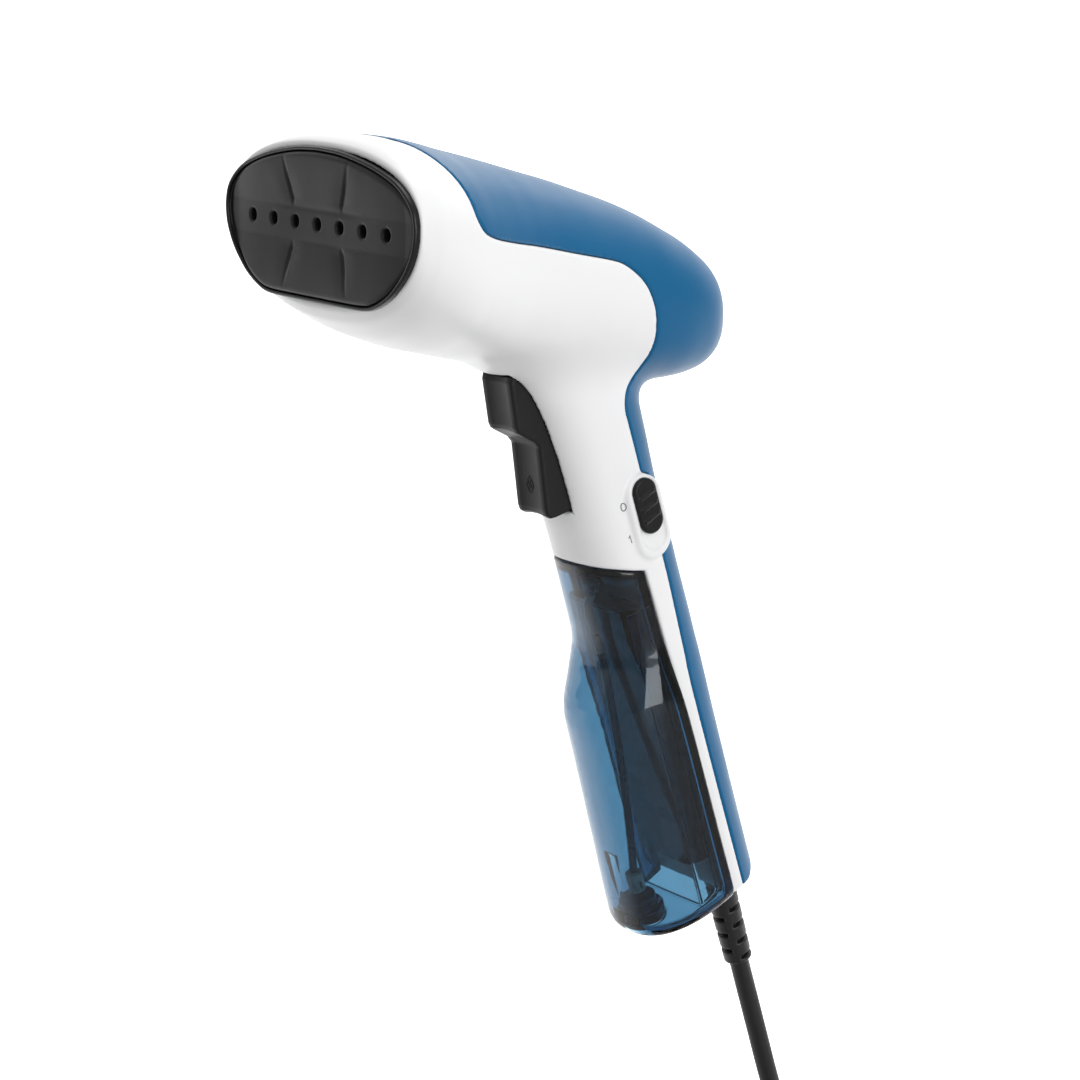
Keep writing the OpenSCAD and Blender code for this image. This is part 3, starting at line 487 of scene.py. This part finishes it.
def drop_crumbs(verts, quads, least):
    """leaves out loose pieces with fewer quads than least"""
    n = len(verts)
    lab = np.arange(n)
    a = quads[:, [0, 1, 2, 3]].ravel()
    b = quads[:, [1, 2, 3, 0]].ravel()
    for _ in range(4000):
        m = np.minimum(lab[a], lab[b])
        new = lab.copy()
        np.minimum.at(new, a, m)
        np.minimum.at(new, b, m)
        new = new[new]
        if (new == lab).all():
            break
        lab = new
    root = lab[quads[:, 0]]
    size = np.bincount(root, minlength=n)
    return quads[size[root] >= least]


def mesh_object(name, verts, quads):
    used = np.unique(quads)
    remap = np.full(len(verts), -1, np.int64)
    remap[used] = np.arange(len(used))
    verts, quads = verts[used], remap[quads]
    me = bpy.data.meshes.new(name)
    k = quads.shape[1]
    me.vertices.add(len(verts))
    me.vertices.foreach_set("co", (verts * MM).astype(np.float32).ravel())
    me.loops.add(quads.size)
    me.loops.foreach_set("vertex_index", quads.astype(np.int32).ravel())
    me.polygons.add(len(quads))
    me.polygons.foreach_set("loop_start", np.arange(0, quads.size, k, dtype=np.int32))
    me.polygons.foreach_set("loop_total", np.full(len(quads), k, dtype=np.int32))
    me.update(calc_edges=True)
    me.validate()
    me.polygons.foreach_set("use_smooth", np.ones(len(me.polygons), bool))
    o = bpy.data.objects.new(name, me)
    bpy.context.scene.collection.objects.link(o)
    return o


def add(name, field, lo, hi, step, mat, body_name, replaces, place=None, crumbs=60):
    """a piece shaped by a field, riding a body in place of the nodes it replaces"""
    v, q = surface(field, lo, hi, step * (1.0))
    q = drop_crumbs(v, q, crumbs)
    if place is not None:
        v = place(v)
    o = mesh_object(name, v, q)
    o.data.materials.append(mat)
    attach(o, body_name)
    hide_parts(*replaces)
    return o


# ---------------------------------------------------------------- materials
def lin(r, g, b):
    """screen colour, 0 to 255, as linear light"""
    return tuple(c / 255 / 12.92 if c <= 10 else ((c / 255 + 0.055) / 1.055) ** 2.4
                 for c in (r, g, b)) + (1,)


def finish_of(name, rgb, rough, vary=0.05, grain=0.04, scale=900, wear=0.15, metal=0.0, spec=0.5,
              glass=0.0, ior=1.49):
    """a finish with slight changes of colour and roughness, fine grain, and handling marks"""
    m = bpy.data.materials.new(name)
    m.use_nodes = True
    nt = m.node_tree
    nd = nt.nodes
    b = nd["Principled BSDF"]
    b.inputs["Metallic"].default_value = metal
    b.inputs["IOR"].default_value = ior
    b.inputs["Specular IOR Level"].default_value = spec
    b.inputs["Transmission Weight"].default_value = glass
    tc = nd.new("ShaderNodeTexCoord")
    cloud = nd.new("ShaderNodeTexNoise")
    cloud.inputs["Scale"].default_value = 34
    cloud.inputs["Detail"].default_value = 4
    fine = nd.new("ShaderNodeTexNoise")
    fine.inputs["Scale"].default_value = scale
    fine.inputs["Detail"].default_value = 2
    nt.links.new(tc.outputs["Object"], cloud.inputs["Vector"])
    nt.links.new(tc.outputs["Object"], fine.inputs["Vector"])
    mix = nd.new("ShaderNodeMix")
    mix.data_type = "RGBA"
    c = lin(*rgb)
    mix.inputs["A"].default_value = tuple(max(0, v * (1 - vary)) for v in c[:3]) + (1,)
    mix.inputs["B"].default_value = tuple(min(1, v * (1 + vary)) for v in c[:3]) + (1,)
    nt.links.new(cloud.outputs["Fac"], mix.inputs["Factor"])
    nt.links.new(mix.outputs["Result"], b.inputs["Base Color"])
    rr = nd.new("ShaderNodeMapRange")
    rr.inputs["From Min"].default_value = 0.3
    rr.inputs["From Max"].default_value = 0.75
    rr.inputs["To Min"].default_value = max(0.02, rough * (1 - wear))
    rr.inputs["To Max"].default_value = min(1, rough * (1 + wear))
    nt.links.new(cloud.outputs["Fac"], rr.inputs["Value"])
    nt.links.new(rr.outputs["Result"], b.inputs["Roughness"])
    bump = nd.new("ShaderNodeBump")
    bump.inputs["Strength"].default_value = grain
    bump.inputs["Distance"].default_value = 0.0002
    nt.links.new(fine.outputs["Fac"], bump.inputs["Height"])
    nt.links.new(bump.outputs["Normal"], b.inputs["Normal"])
    return m


def tinted(name, rgb, density, rough=0.03):
    """clear coloured plastic: light passes straight on, dimmed by the tint, with a glossy skin over it"""
    m = finish_of(name, (255, 255, 255), rough, 0.0, 0.02, 300, 0.3, glass=1.0, ior=1.5, spec=0.3)
    nt = m.node_tree
    b = nt.nodes["Principled BSDF"]
    for l in list(b.inputs["Base Color"].links):
        nt.links.remove(l)
    b.inputs["Base Color"].default_value = (1, 1, 1, 1)
    vol = nt.nodes.new("ShaderNodeVolumeAbsorption")
    vol.inputs["Color"].default_value = lin(*rgb)
    vol.inputs["Density"].default_value = density
    nt.links.new(vol.outputs["Volume"], nt.nodes["Material Output"].inputs["Volume"])
    return m


WHITE = finish_of("white_plastic", (229, 229, 230), 0.34, 0.008, 0.03, 900, 0.12, spec=0.3)
BLUE = finish_of("blue_plastic", (8, 90, 134), 0.36, 0.03, 0.05, 1100, 0.15, spec=0.22)
PLATE_M = finish_of("plate_coating", (32, 32, 32), 0.4, 0.1, 0.14, 1500, 0.2, spec=0.22)
RIM_M = finish_of("rim_rubber", (11, 11, 11), 0.34, 0.1, 0.06, 900, 0.2, spec=0.35)
TRIG_M = finish_of("trigger_plastic", (29, 29, 29), 0.42, 0.08, 0.16, 1400, 0.2, spec=0.18)
KNOB_M = finish_of("knob_plastic", (19, 19, 20), 0.4, 0.08, 0.1, 1200, 0.2, spec=0.25)
GREY_MARK = finish_of("mark_ink", (110, 110, 112), 0.5, 0.05, 0.05, 1500, spec=0.2)
STEEL = finish_of("steel", (168, 168, 172), 0.28, 0.06, 0.08, 700, 0.4, metal=1.0)
PIN_M = finish_of("pin_steel", (198, 196, 190), 0.2, 0.05, 0.05, 500, 0.4, metal=1.0)
CAST = finish_of("cast_aluminium", (150, 152, 154), 0.46, 0.1, 0.3, 420, 0.3, metal=1.0)
ELEMENT = finish_of("element_steel", (150, 140, 128), 0.35, 0.2, 0.12, 600, 0.4, metal=1.0)
RED = finish_of("red_silicone", (165, 52, 36), 0.55, 0.08, 0.15, 700)
CERAMIC = finish_of("cream_ceramic", (222, 216, 196), 0.6, 0.05, 0.2, 800)
DARK = finish_of("dark_plastic", (30, 31, 33), 0.5, 0.1, 0.12, 900)
MICA = finish_of("mica", (190, 178, 140), 0.42, 0.15, 0.3, 260)
NATURAL = finish_of("natural_plastic", (222, 220, 208), 0.42, 0.04, 0.08, 700)
HOSE = finish_of("hose", (214, 218, 214), 0.4, 0.04, 0.08, 600, glass=0.25)
BROWN_W = finish_of("wire_brown", (92, 54, 32), 0.5, 0.08, 0.1, 800)
BLUE_W = finish_of("wire_blue", (38, 84, 168), 0.5, 0.08, 0.1, 800)
CORE_M = finish_of("core_plastic", (30, 72, 92), 0.3, 0.1, 0.08, 900, 0.2, spec=0.25)
FILL_M = finish_of("filler_plastic", (24, 62, 88), 0.35, 0.08, 0.12, 700)
TANK_M = tinted("tank_clear", (68, 173, 200), 860)
TUBE_M = finish_of("tube_plastic", (70, 104, 124), 0.3, 0.05, 0.05, 600, glass=0.4)
CORD_M = finish_of("cord_rubber", (20, 20, 21), 0.5, 0.1, 0.2, 700, 0.2, spec=0.4)
RELIEF_M = finish_of("relief_rubber", (26, 26, 26), 0.42, 0.1, 0.2, 900, 0.2, spec=0.4)
PLUG_M = finish_of("plug_rubber", (20, 20, 21), 0.48, 0.1, 0.2, 900, 0.2, spec=0.4)
# painted shade and painted light: the floor's colour is darkened to grey under the steamer, and behind it
# the floor glows from its own emission, which brightens it to white
FLOOR_M = finish_of("floor_painted_shade_and_glow", (250, 250, 250), 0.6, 0.004, 0.02, 200, spec=0.2)
fn = FLOOR_M.node_tree
fb = fn.nodes["Principled BSDF"]
fb.inputs["Emission Color"].default_value = (1, 1, 1, 1)
geo = fn.nodes.new("ShaderNodeNewGeometry")
away = fn.nodes.new("ShaderNodeVectorMath")
away.operation = "DOT_PRODUCT"
away.inputs[1].default_value = (-math.sin(AZ), math.cos(AZ), 0)
fn.links.new(geo.outputs["Position"], away.inputs[0])


def along_view(under, behind):
    """a value that goes from under to behind as the floor runs away from the camera"""
    ramp = fn.nodes.new("ShaderNodeMapRange")
    ramp.inputs["From Min"].default_value = -0.05
    ramp.inputs["From Max"].default_value = 0.2
    ramp.inputs["To Min"].default_value = under
    ramp.inputs["To Max"].default_value = behind
    fn.links.new(away.outputs["Value"], ramp.inputs["Value"])
    return ramp.outputs["Result"]


# this mix darkens the floor's colour under the steamer: painted shade
painted_floor_shade = fn.nodes.new("ShaderNodeMix")
painted_floor_shade.data_type = "RGBA"
painted_floor_shade.blend_type = "MULTIPLY"
painted_floor_shade.inputs["Factor"].default_value = 1.0
for l in list(fb.inputs["Base Color"].links):
    fn.links.new(l.from_socket, painted_floor_shade.inputs["A"])
# painted shade: the floor's colour is cut to 0.42 under the steamer and kept near full behind it
fn.links.new(along_view(0.42, 0.96), painted_floor_shade.inputs["B"])
# painted light: the floor glows behind the steamer and hardly at all under it, though it is no lamp
fn.links.new(along_view(0.02, 0.75), fb.inputs["Emission Strength"])
fn.links.new(painted_floor_shade.outputs["Result"], fb.inputs["Base Color"])

# what the CAD nodes that stay in view wear, and how far their edges are rounded, in millimetres
SHOWN = {"boiler_body": CAST, "heating_element": ELEMENT, "lid_seal": RED, "boiler_lid": CAST,
         "lid_screws": STEEL, "thermostat": CERAMIC, "thermal_fuse": CERAMIC, "boiler_cradle": DARK,
         "cradle_screws": STEEL, "heat_shield": MICA, "pump_frame": STEEL, "pump_coil": DARK,
         "pump_tube": NATURAL, "pump_piston": STEEL, "pump_spring": STEEL, "check_valve": NATURAL,
         "inlet_hose": HOSE, "outlet_hose": HOSE, "inner_chassis": DARK, "micro_switch": DARK,
         "micro_plunger": RED, "trigger_pin": STEEL, "trigger_spring": STEEL, "knob_lever": NATURAL,
         "switch_body": DARK, "terminal_block": NATURAL, "wire_brown": BROWN_W, "wire_blue": BLUE_W,
         "cover_screws": STEEL, "tank_core": CORE_M, "tank_spigot": DARK, "spigot_seal": RED,
         "pickup_tube": TUBE_M, "pickup_filter": NATURAL, "cord_clamp": DARK, "clamp_screws": STEEL,
         "cord_tie": DARK, "plug_pins": PIN_M}
ROUNDED = {"boiler_body": 0.6, "boiler_lid": 0.4, "pump_frame": 0.3, "pump_coil": 0.5,
           "inner_chassis": 0.4, "micro_switch": 0.4, "switch_body": 0.4, "terminal_block": 0.6,
           "cord_clamp": 0.5, "tank_core": 0.9, "boiler_cradle": 0.5, "knob_lever": 0.4,
           "thermostat": 0.4, "cord_tie": 0.5, "tank_spigot": 0.25, "pickup_filter": 0.2}
for n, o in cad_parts.items():
    mat = SHOWN.get(n, DARK)
    o.data.materials.clear()
    o.data.materials.append(mat)
    if n in ROUNDED:
        bev = o.modifiers.new("bevel", "BEVEL")
        bev.width = ROUNDED[n] * MM
        bev.segments = 2
        bev.limit_method = "ANGLE"
        bev.angle_limit = math.radians(40)


# ---------------------------------------------------------------- cord
def free_cord():
    """down from the handle's end, round a flat coil on the floor, and on to the plug"""
    cx, cy = 60.0, 66.0  # middle of the coil
    turns, per, lane_change = 7.5, 40, 0.3
    drop = [tuple(grip_world((0, CORD_U, w))) for w in (-150, -166, -183, -200, -215)]
    drop += [tuple(grip_world((0, 9.4, -228))), (3, 93, -236), (10, 101, -254), (24, 105, -264.5),
             (42, 106.2, -268)]
    # radius and height of each turn
    lanes = [(40.5, -268.4), (33.5, -268.4), (30, -262.3), (33.5, -256.2), (37, -262.3), (44, -262.3),
             (40.5, -256.2), (40.5, -256.2)]
    ring = []
    for i in range(int(turns * per) + 1):
        k, f = divmod(i / per, 1.0)
        k = int(k)
        s = min(max((f - 0.7) / lane_change, 0), 1)
        s = s * s * (3 - 2 * s)
        a, b = lanes[k], lanes[min(k + 1, 7)]
        r, z = a[0] + (b[0] - a[0]) * s, a[1] + (b[1] - a[1]) * s
        t = math.radians(90) - 2 * math.pi * i / per
        ring.append((cx + r * math.cos(t), cy + r * math.sin(t), z))
    tail = [(50, 25.2, -256), (38, 21.6, -255.6), (28, 13.6, -255.2), (22, 3.6, -255), (20, -6, -255),
            (20, -12, -255)]
    first = curve_points(drop + [ring[0]], 8)[:-1]
    last = curve_points([ring[-1]] + tail, 8)
    return np.concatenate([first, ring[:-1], last])


def tube(name, pts, radius, mat, sides, closed=False):
    cu = bpy.data.curves.new(name, "CURVE")
    cu.dimensions = "3D"
    sp = cu.splines.new("POLY")
    sp.points.add(len(pts) - 1)
    for p, c in zip(sp.points, pts):
        p.co = (c[0] * MM, c[1] * MM, c[2] * MM, 1)
    sp.use_cyclic_u = closed
    sp.use_smooth = True
    cu.bevel_depth = radius * MM
    cu.bevel_resolution = sides
    cu.use_fill_caps = True
    cu.materials.append(mat)
    o = bpy.data.objects.new(name, cu)
    bpy.context.scene.collection.objects.link(o)
    return o


exit_point = grip_world((0, CORD_U, -166))
cord_line = free_cord()
skip = int(np.argmin(np.linalg.norm(cord_line[:40] - exit_point, axis=1)))
cord_line = cord_line[skip:]
cord_len = float(np.linalg.norm(np.diff(cord_line, axis=0), axis=1).sum()) * MM
print("cord length", round(cord_len, 3))
flex = tube("flex", cord_line, CORD_R, CORD_M, 6)
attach(flex, "housing")
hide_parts("power_cord", "cord_coil", "cord_tail")
inside_line = [grip_world((0, CORD_U, -98)), grip_world((0, CORD_U, -130)), exit_point]
flex_in = tube("flex_inside", inside_line, CORD_R, CORD_M, 5)
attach(flex_in, "housing")


# ---------------------------------------------------------------- the plug
def plug_field(p):
    x, y, z = p[:, 0] - PLUG_AT[0], p[:, 1] - PLUG_AT[1], p[:, 2] - PLUG_AT[2]
    r = np.hypot(x, z)
    neck = np.maximum(np.maximum(r - (5 + (8 - y) * 0.24), y - 8), -6.5 - y)
    for i in range(4):
        yy = 5.0 - 3.0 * i
        neck = smax(neck, -np.maximum(np.abs(y - yy) - 0.6, 4.9 + (8 - y) * 0.12 - r), 0.3)
    top = smax(r - np.where(y > -14, 16.9 - (y + 14) * 0.6, 16.9), y + 6.2, 3.5)
    top = smax(top, -30 - y, 1.6)
    a = np.arctan2(z, x)
    ridge = 0.45 * np.clip(np.cos(a * 14) * 1.6, -1, 1)
    ridge = ridge * np.clip((y + 24) / 4, 0, 1) * np.clip((-10 - y) / 4, 0, 1)
    top = top + 0.45 - ridge
    s = smin(neck, top, 2.2)
    for sx in (-9.5, 9.5):
        s = smax(s, -np.maximum(np.hypot(x - sx, z) - 2.9, y + 29.6), 0.25)
    for sz in (-1, 1):
        s = smax(s, -np.maximum(np.hypot(x, z - sz * 13.5) - 2.2, y + 28.4), 0.4)
    return s


plug = add("plug", plug_field, (0, -50, -275), (40, -4, -235), 0.55, PLUG_M, "housing", ["plug_body"],
           crumbs=20)


# ---------------------------------------------------------------- steam plate, head frame
def plate_face(x, z):
    """how far the face is set back: a flat band along the holes, and creased panels rising from it"""
    ax, az = np.abs(x), np.abs(z)
    low = z < 0
    foot = np.where(low, 5.6, 4.4)
    xc = 13.2 + np.maximum(az - 6.5, 0) * np.where(low, 0.33, 0.38)
    xc = xc - 0.5 * np.clip((az - 9) / 9, 0, 1) ** 2
    band = 1.15 * np.clip(1 - np.maximum(az - foot, 0) / 15, 0, 1) ** 1.6
    t = np.clip((az - foot) / 2.5, 0, 1) * np.clip((20.5 - az) / 9, 0, 1)
    d = np.abs(ax - xc)
    crease = t * (0.5 * np.exp(-(d / 0.75) ** 2) + 0.32 * np.exp(-(d / 4.0) ** 2))
    step = 0.14 * np.exp(-((az - foot) / 0.9) ** 2) * np.clip((24 - ax) / 8, 0, 1) * np.where(low, 0.3, 1)
    side = 0.7 * np.clip((ax - 29) / 16, 0, 1) ** 2
    return band + crease + step + side


def plate_field(p):
    x, y, z = p[:, 0], p[:, 1] - PY, p[:, 2] - PZ
    d = PLATE_F(x, z)
    s = smax(d + 0.05, -1.5 + plate_face(x, z) - y, 1.7)
    s = smax(s, y - 3.4, 0.4)
    for i in range(-3, 4):
        r = np.hypot(x - i * 12.0, z)
        s = smax(s, 1.95 - r, 0.7)
    return s


def rim_field(p):
    x, y, z = p[:, 0], p[:, 1] - PY, p[:, 2] - PZ
    d = PLATE_F(x, z)
    a = smax(np.abs(d - 0.78) - 0.62, np.abs(y - 0.15) - 1.05, 0.7)
    b = np.maximum(np.abs(d + 1.75) - 1.1, np.abs(y - 3.2) - 2.0)
    c = np.maximum(np.abs(d) - 1.35, np.abs(y - 0.85) - 0.35)
    return np.minimum(np.minimum(a, b), c)


# ---------------------------------------------------------------- trigger, handle frame
TRIG = [(-23.5, 75.2), (-25.6, 74.6), (-26.6, 72.8), (-28.7, 58.2), (-28.4, 56.4), (-27, 54.8),
        (-23.2, 51), (-22.2, 48.6), (-25.9, 28), (-25.8, 26), (-24.8, 24.8), (-22.8, 24.3), (-17.4, 24.0),
        (-9.4, 24.3), (-9.2, 42), (-2.55, 42.6), (-2.55, 47.4), (-9.2, 48), (-9.2, 64), (-7.4, 67),
        (-7.4, 74), (-9.8, 75.8), (-18, 75.6)]
TRIG_F = Field2D(TRIG, (-34, 18), (2, 82), 0.15)


def box_f(q, lo, hi):
    d = None
    for k in range(3):
        e = np.maximum(lo[k] - q[:, k], q[:, k] - hi[k])
        d = e if d is None else np.maximum(d, e)
    return d


def trigger_field(q):
    ax = np.abs(q[:, 0])
    s = smax(TRIG_F(q[:, 1], q[:, 2]) + 0.02, ax - 8.15, 1.5)
    dish = 0.55 * np.clip(1 - (ax / 5.6) ** 2, 0, 1) * np.clip((-18 - q[:, 1]) / 4, 0, 1)
    s = s + dish
    s = np.maximum(s, -np.maximum(np.maximum(2.6 - ax, -9.1 - q[:, 1]), q[:, 2] - 64))
    s = np.maximum(s, -box_f(q, (-6.2, -20, 27.5), (6.2, -8.5, 41)))
    s = np.maximum(s, -box_f(q, (-6.2, -20, 49.5), (6.2, -8.5, 64)))
    return np.maximum(s, 1.57 - np.hypot(q[:, 1] + 12, q[:, 2] - 71))


def knob_field(q):
    d = stadium(q[:, 1], q[:, 2], KNOB_U, 18.4, 5.1, 4.55)
    s = smax(np.maximum(d, 19.45 - q[:, 0]), q[:, 0] - 21.1, 1.0)
    for w in (14.4, 18.4, 22.4):
        rib = np.hypot(q[:, 0] - 21.1, q[:, 2] - w - 0.5 * np.sin((q[:, 1] - KNOB_U) * 0.45)) - 0.62
        s = smin(s, smax(rib, np.abs(q[:, 1] - KNOB_U) - 3.3, 0.5), 0.5)
    stem = box_f(q, (14, 3.2, 16.9), (19.6, 6, 19.9))
    return np.minimum(s, stem)


# ---------------------------------------------------------------- strain relief, handle frame
def relief_field(q):
    x, u, w = q[:, 0], q[:, 1] - CORD_U, q[:, 2]
    r = np.hypot(x, u)
    s = smax(r - (5.0 + (w + 166) * 0.0122), np.maximum(-166 - w, w + 124), 0.8)
    a = math.radians(52)
    side = x * math.cos(a) + u * math.sin(a)
    for i in range(6):
        s = smax(s, -np.maximum(1.2 - side, np.abs(w + 130.65 + i * 6.6) - 0.8), 0.5)
        s = smax(s, -np.maximum(1.2 + side, np.abs(w + 133.95 + i * 6.6) - 0.8), 0.5)
    col = smax(r - 5.5, np.abs(w + 122.5) - 2.6, 0.8)
    fl = smax(r - 6.2, np.abs(w + 119.9) - 1.4, 0.5)
    s = np.minimum(np.minimum(s, col), fl)
    return np.maximum(s, 3.52 - r)


def filler_field(q):
    x, u, w = q[:, 0], q[:, 1] - FILLER_U, q[:, 2]
    r = np.hypot(x, u)
    cap = smax(r - 7.1, np.abs(w + 128.55) - 0.85, 0.5)
    stem = smax(r - 6.0, np.maximum(w + 119.7, -128 - w), 0.8)
    groove = np.maximum(np.abs(w + 123.6) - 0.8, 5.4 - r)
    stem = smax(stem, -groove, 0.3)
    ends = np.abs(x) - 5 + 0.25 * np.maximum(-129 - w, 0)
    grip = smax(np.abs(u) - 1.0, np.maximum(ends, np.abs(w + 130) - 1.15), 0.6)
    return smin(np.minimum(cap, stem), grip, 0.5)


# ---------------------------------------------------------------- building the shaped pieces
add("white_shell", white_field, (-55, -118, -127), (55, 62, 141), 0.75, WHITE, "housing", ["front_housing"])
add("blue_cover", blue_field, (-55, -118, -127), (55, 64, 141), 0.75, BLUE, "housing", ["rear_cover"])
add("steam_face", plate_field, (-53, PY - 3, PZ - 26), (53, PY + 5, PZ + 26), 0.4, PLATE_M, "housing",
    ["steam_plate"])
add("face_rim", rim_field, (-54, PY - 2, PZ - 27), (54, PY + 6.5, PZ + 27), 0.34, RIM_M, "housing",
    ["plate_rim"])
add("trigger_shape", trigger_field, (-10, -32, 20), (10, 1, 80), 0.36, TRIG_M, "trigger", ["trigger"],
    place=grip_world)
add("slide_knob", knob_field, (12, -2, 8), (23, 11, 30), 0.22, KNOB_M, "power_slider", ["power_knob"],
    place=grip_world)
add("tank_clear", tank_field, (-27, -37, -138), (27, 0, 12), 0.5, TANK_M, "tank", ["tank_shell"],
    place=grip_world)
add("cord_sleeve", relief_field, (-8, 1, -168), (8, 17, -117), 0.3, RELIEF_M, "housing", ["strain_relief"],
    place=grip_world)
add("filler_cap", filler_field, (-8, -34, -133), (8, -16, -118), 0.28, FILL_M, "filler", ["filler_plug"],
    place=grip_world)


# ---------------------------------------------------------------- printed marks on the white side
MARK_R = 0.17


def side_x(u, w):
    """where the side of the handle, with its pad, lies at u, w"""
    xs = np.linspace(15, 22, 281)
    q = np.stack([xs, np.full_like(xs, u), np.full_like(xs, w)], -1).astype(np.float32)
    f = smin(body(grip_world(q).astype(np.float32)), pad(q), 1.6)
    return float(xs[int(np.argmax(f > 0))])


def mark(name, pts, closed):
    world = [grip_world((side_x(u, w) + 0.02, u, w)) for u, w in pts]
    o = tube(name, world, MARK_R, GREY_MARK, 3, closed)
    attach(o, "housing")


def steam_mark():
    """a leaf outline with two short waves in it, raised on the lower finger of the trigger"""
    leaf = [(0.0, 2.9), (1.0, 1.5), (1.75, 0.0), (1.0, -1.5), (0.0, -2.9), (-1.0, -1.5), (-1.75, 0.0),
            (-1.0, 1.5)]
    rows = [(curve_points(leaf, 3, True)[:-1], True)]
    for dx in (-0.45, 0.5):
        rows.append((np.array([(dx + 0.32 * math.sin(k * 0.9), -1.3 + k * 0.38) for k in range(8)]), False))
    for i, (pts, closed) in enumerate(rows):
        run = []
        for x, w in pts:
            ww = 35.4 + w
            uu = -25.9 + (ww - 28) * 0.1796 + 0.55 * max(0, 1 - ((x - 0.2) / 5.6) ** 2) + 0.02
            run.append(grip_world((x - 0.2, uu, ww)))
        o = tube("trigger_mark_%d" % i, run, MARK_R, KNOB_M, 3, closed)
        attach(o, "trigger")


steam_mark()
round_run = [k * math.pi / 8 for k in range(16)]
mark("mark_off", [(-3.9 + 0.85 * math.cos(t), 21.4 + 1.35 * math.sin(t)) for t in round_run], True)
mark("mark_on", [(-4.8, 10.5), (-4.2, 11.4), (-4.2, 8.7)], False)

# ---------------------------------------------------------------- floor and light
half_width, sweep = 6.0, 2.0
fl = bpy.data.meshes.new("floor")
# away from the camera and up, in metres: flat, then a quarter circle, then a wall
bend = [k * math.pi / 24 for k in range(1, 13)]
rows = [(-3.0, 0.0), (2.0, 0.0)]
rows += [(2.0 + sweep * math.sin(t), sweep - sweep * math.cos(t)) for t in bend]
rows.append((4.0, 6.0))
fx, fy = -math.sin(AZ), math.cos(AZ)
fv, ff = [], []
for d, h in rows:
    for s in (-half_width, half_width):
        fv.append((fx * d + fy * s, fy * d - fx * s, FLOOR * MM - 0.0002 + h))
for i in range(len(rows) - 1):
    ff.append((2 * i, 2 * i + 1, 2 * i + 3, 2 * i + 2))
fl.from_pydata(fv, [], ff)
for f in fl.polygons:
    f.use_smooth = True
floor = bpy.data.objects.new("floor", fl)
bpy.context.scene.collection.objects.link(floor)
fl.materials.append(FLOOR_M)

world = bpy.data.worlds.new("studio")
bpy.context.scene.world = world
world.use_nodes = True
world.node_tree.nodes["Background"].inputs["Color"].default_value = (1, 1, 1, 1)
world.node_tree.nodes["Background"].inputs["Strength"].default_value = 0.5


def softbox(name, at, to, w, h, power):
    ld = bpy.data.lights.new(name, "AREA")
    ld.shape = "RECTANGLE"
    ld.size, ld.size_y = w, h
    ld.energy = power
    o = bpy.data.objects.new(name, ld)
    bpy.context.scene.collection.objects.link(o)
    o.location = at
    o.rotation_mode = "QUATERNION"
    o.rotation_quaternion = (Vector(to) - Vector(at)).to_track_quat("-Z", "Y")


softbox("top_box", (-0.3, 0.5, 1.5), (0, 0, 0), 0.7, 2.2, 14)
softbox("right_box", (1.7, -0.1, 0.5), (0, 0, 0), 1.0, 1.6, 21)
softbox("left_box", (-0.7, -1.5, 0.7), (0, 0, 0), 0.8, 1.6, 1)

vs = bpy.context.scene.view_settings
vs.view_transform = "Standard"
vs.look = "None"
vs.exposure = 0.0
vs.gamma = 1.0
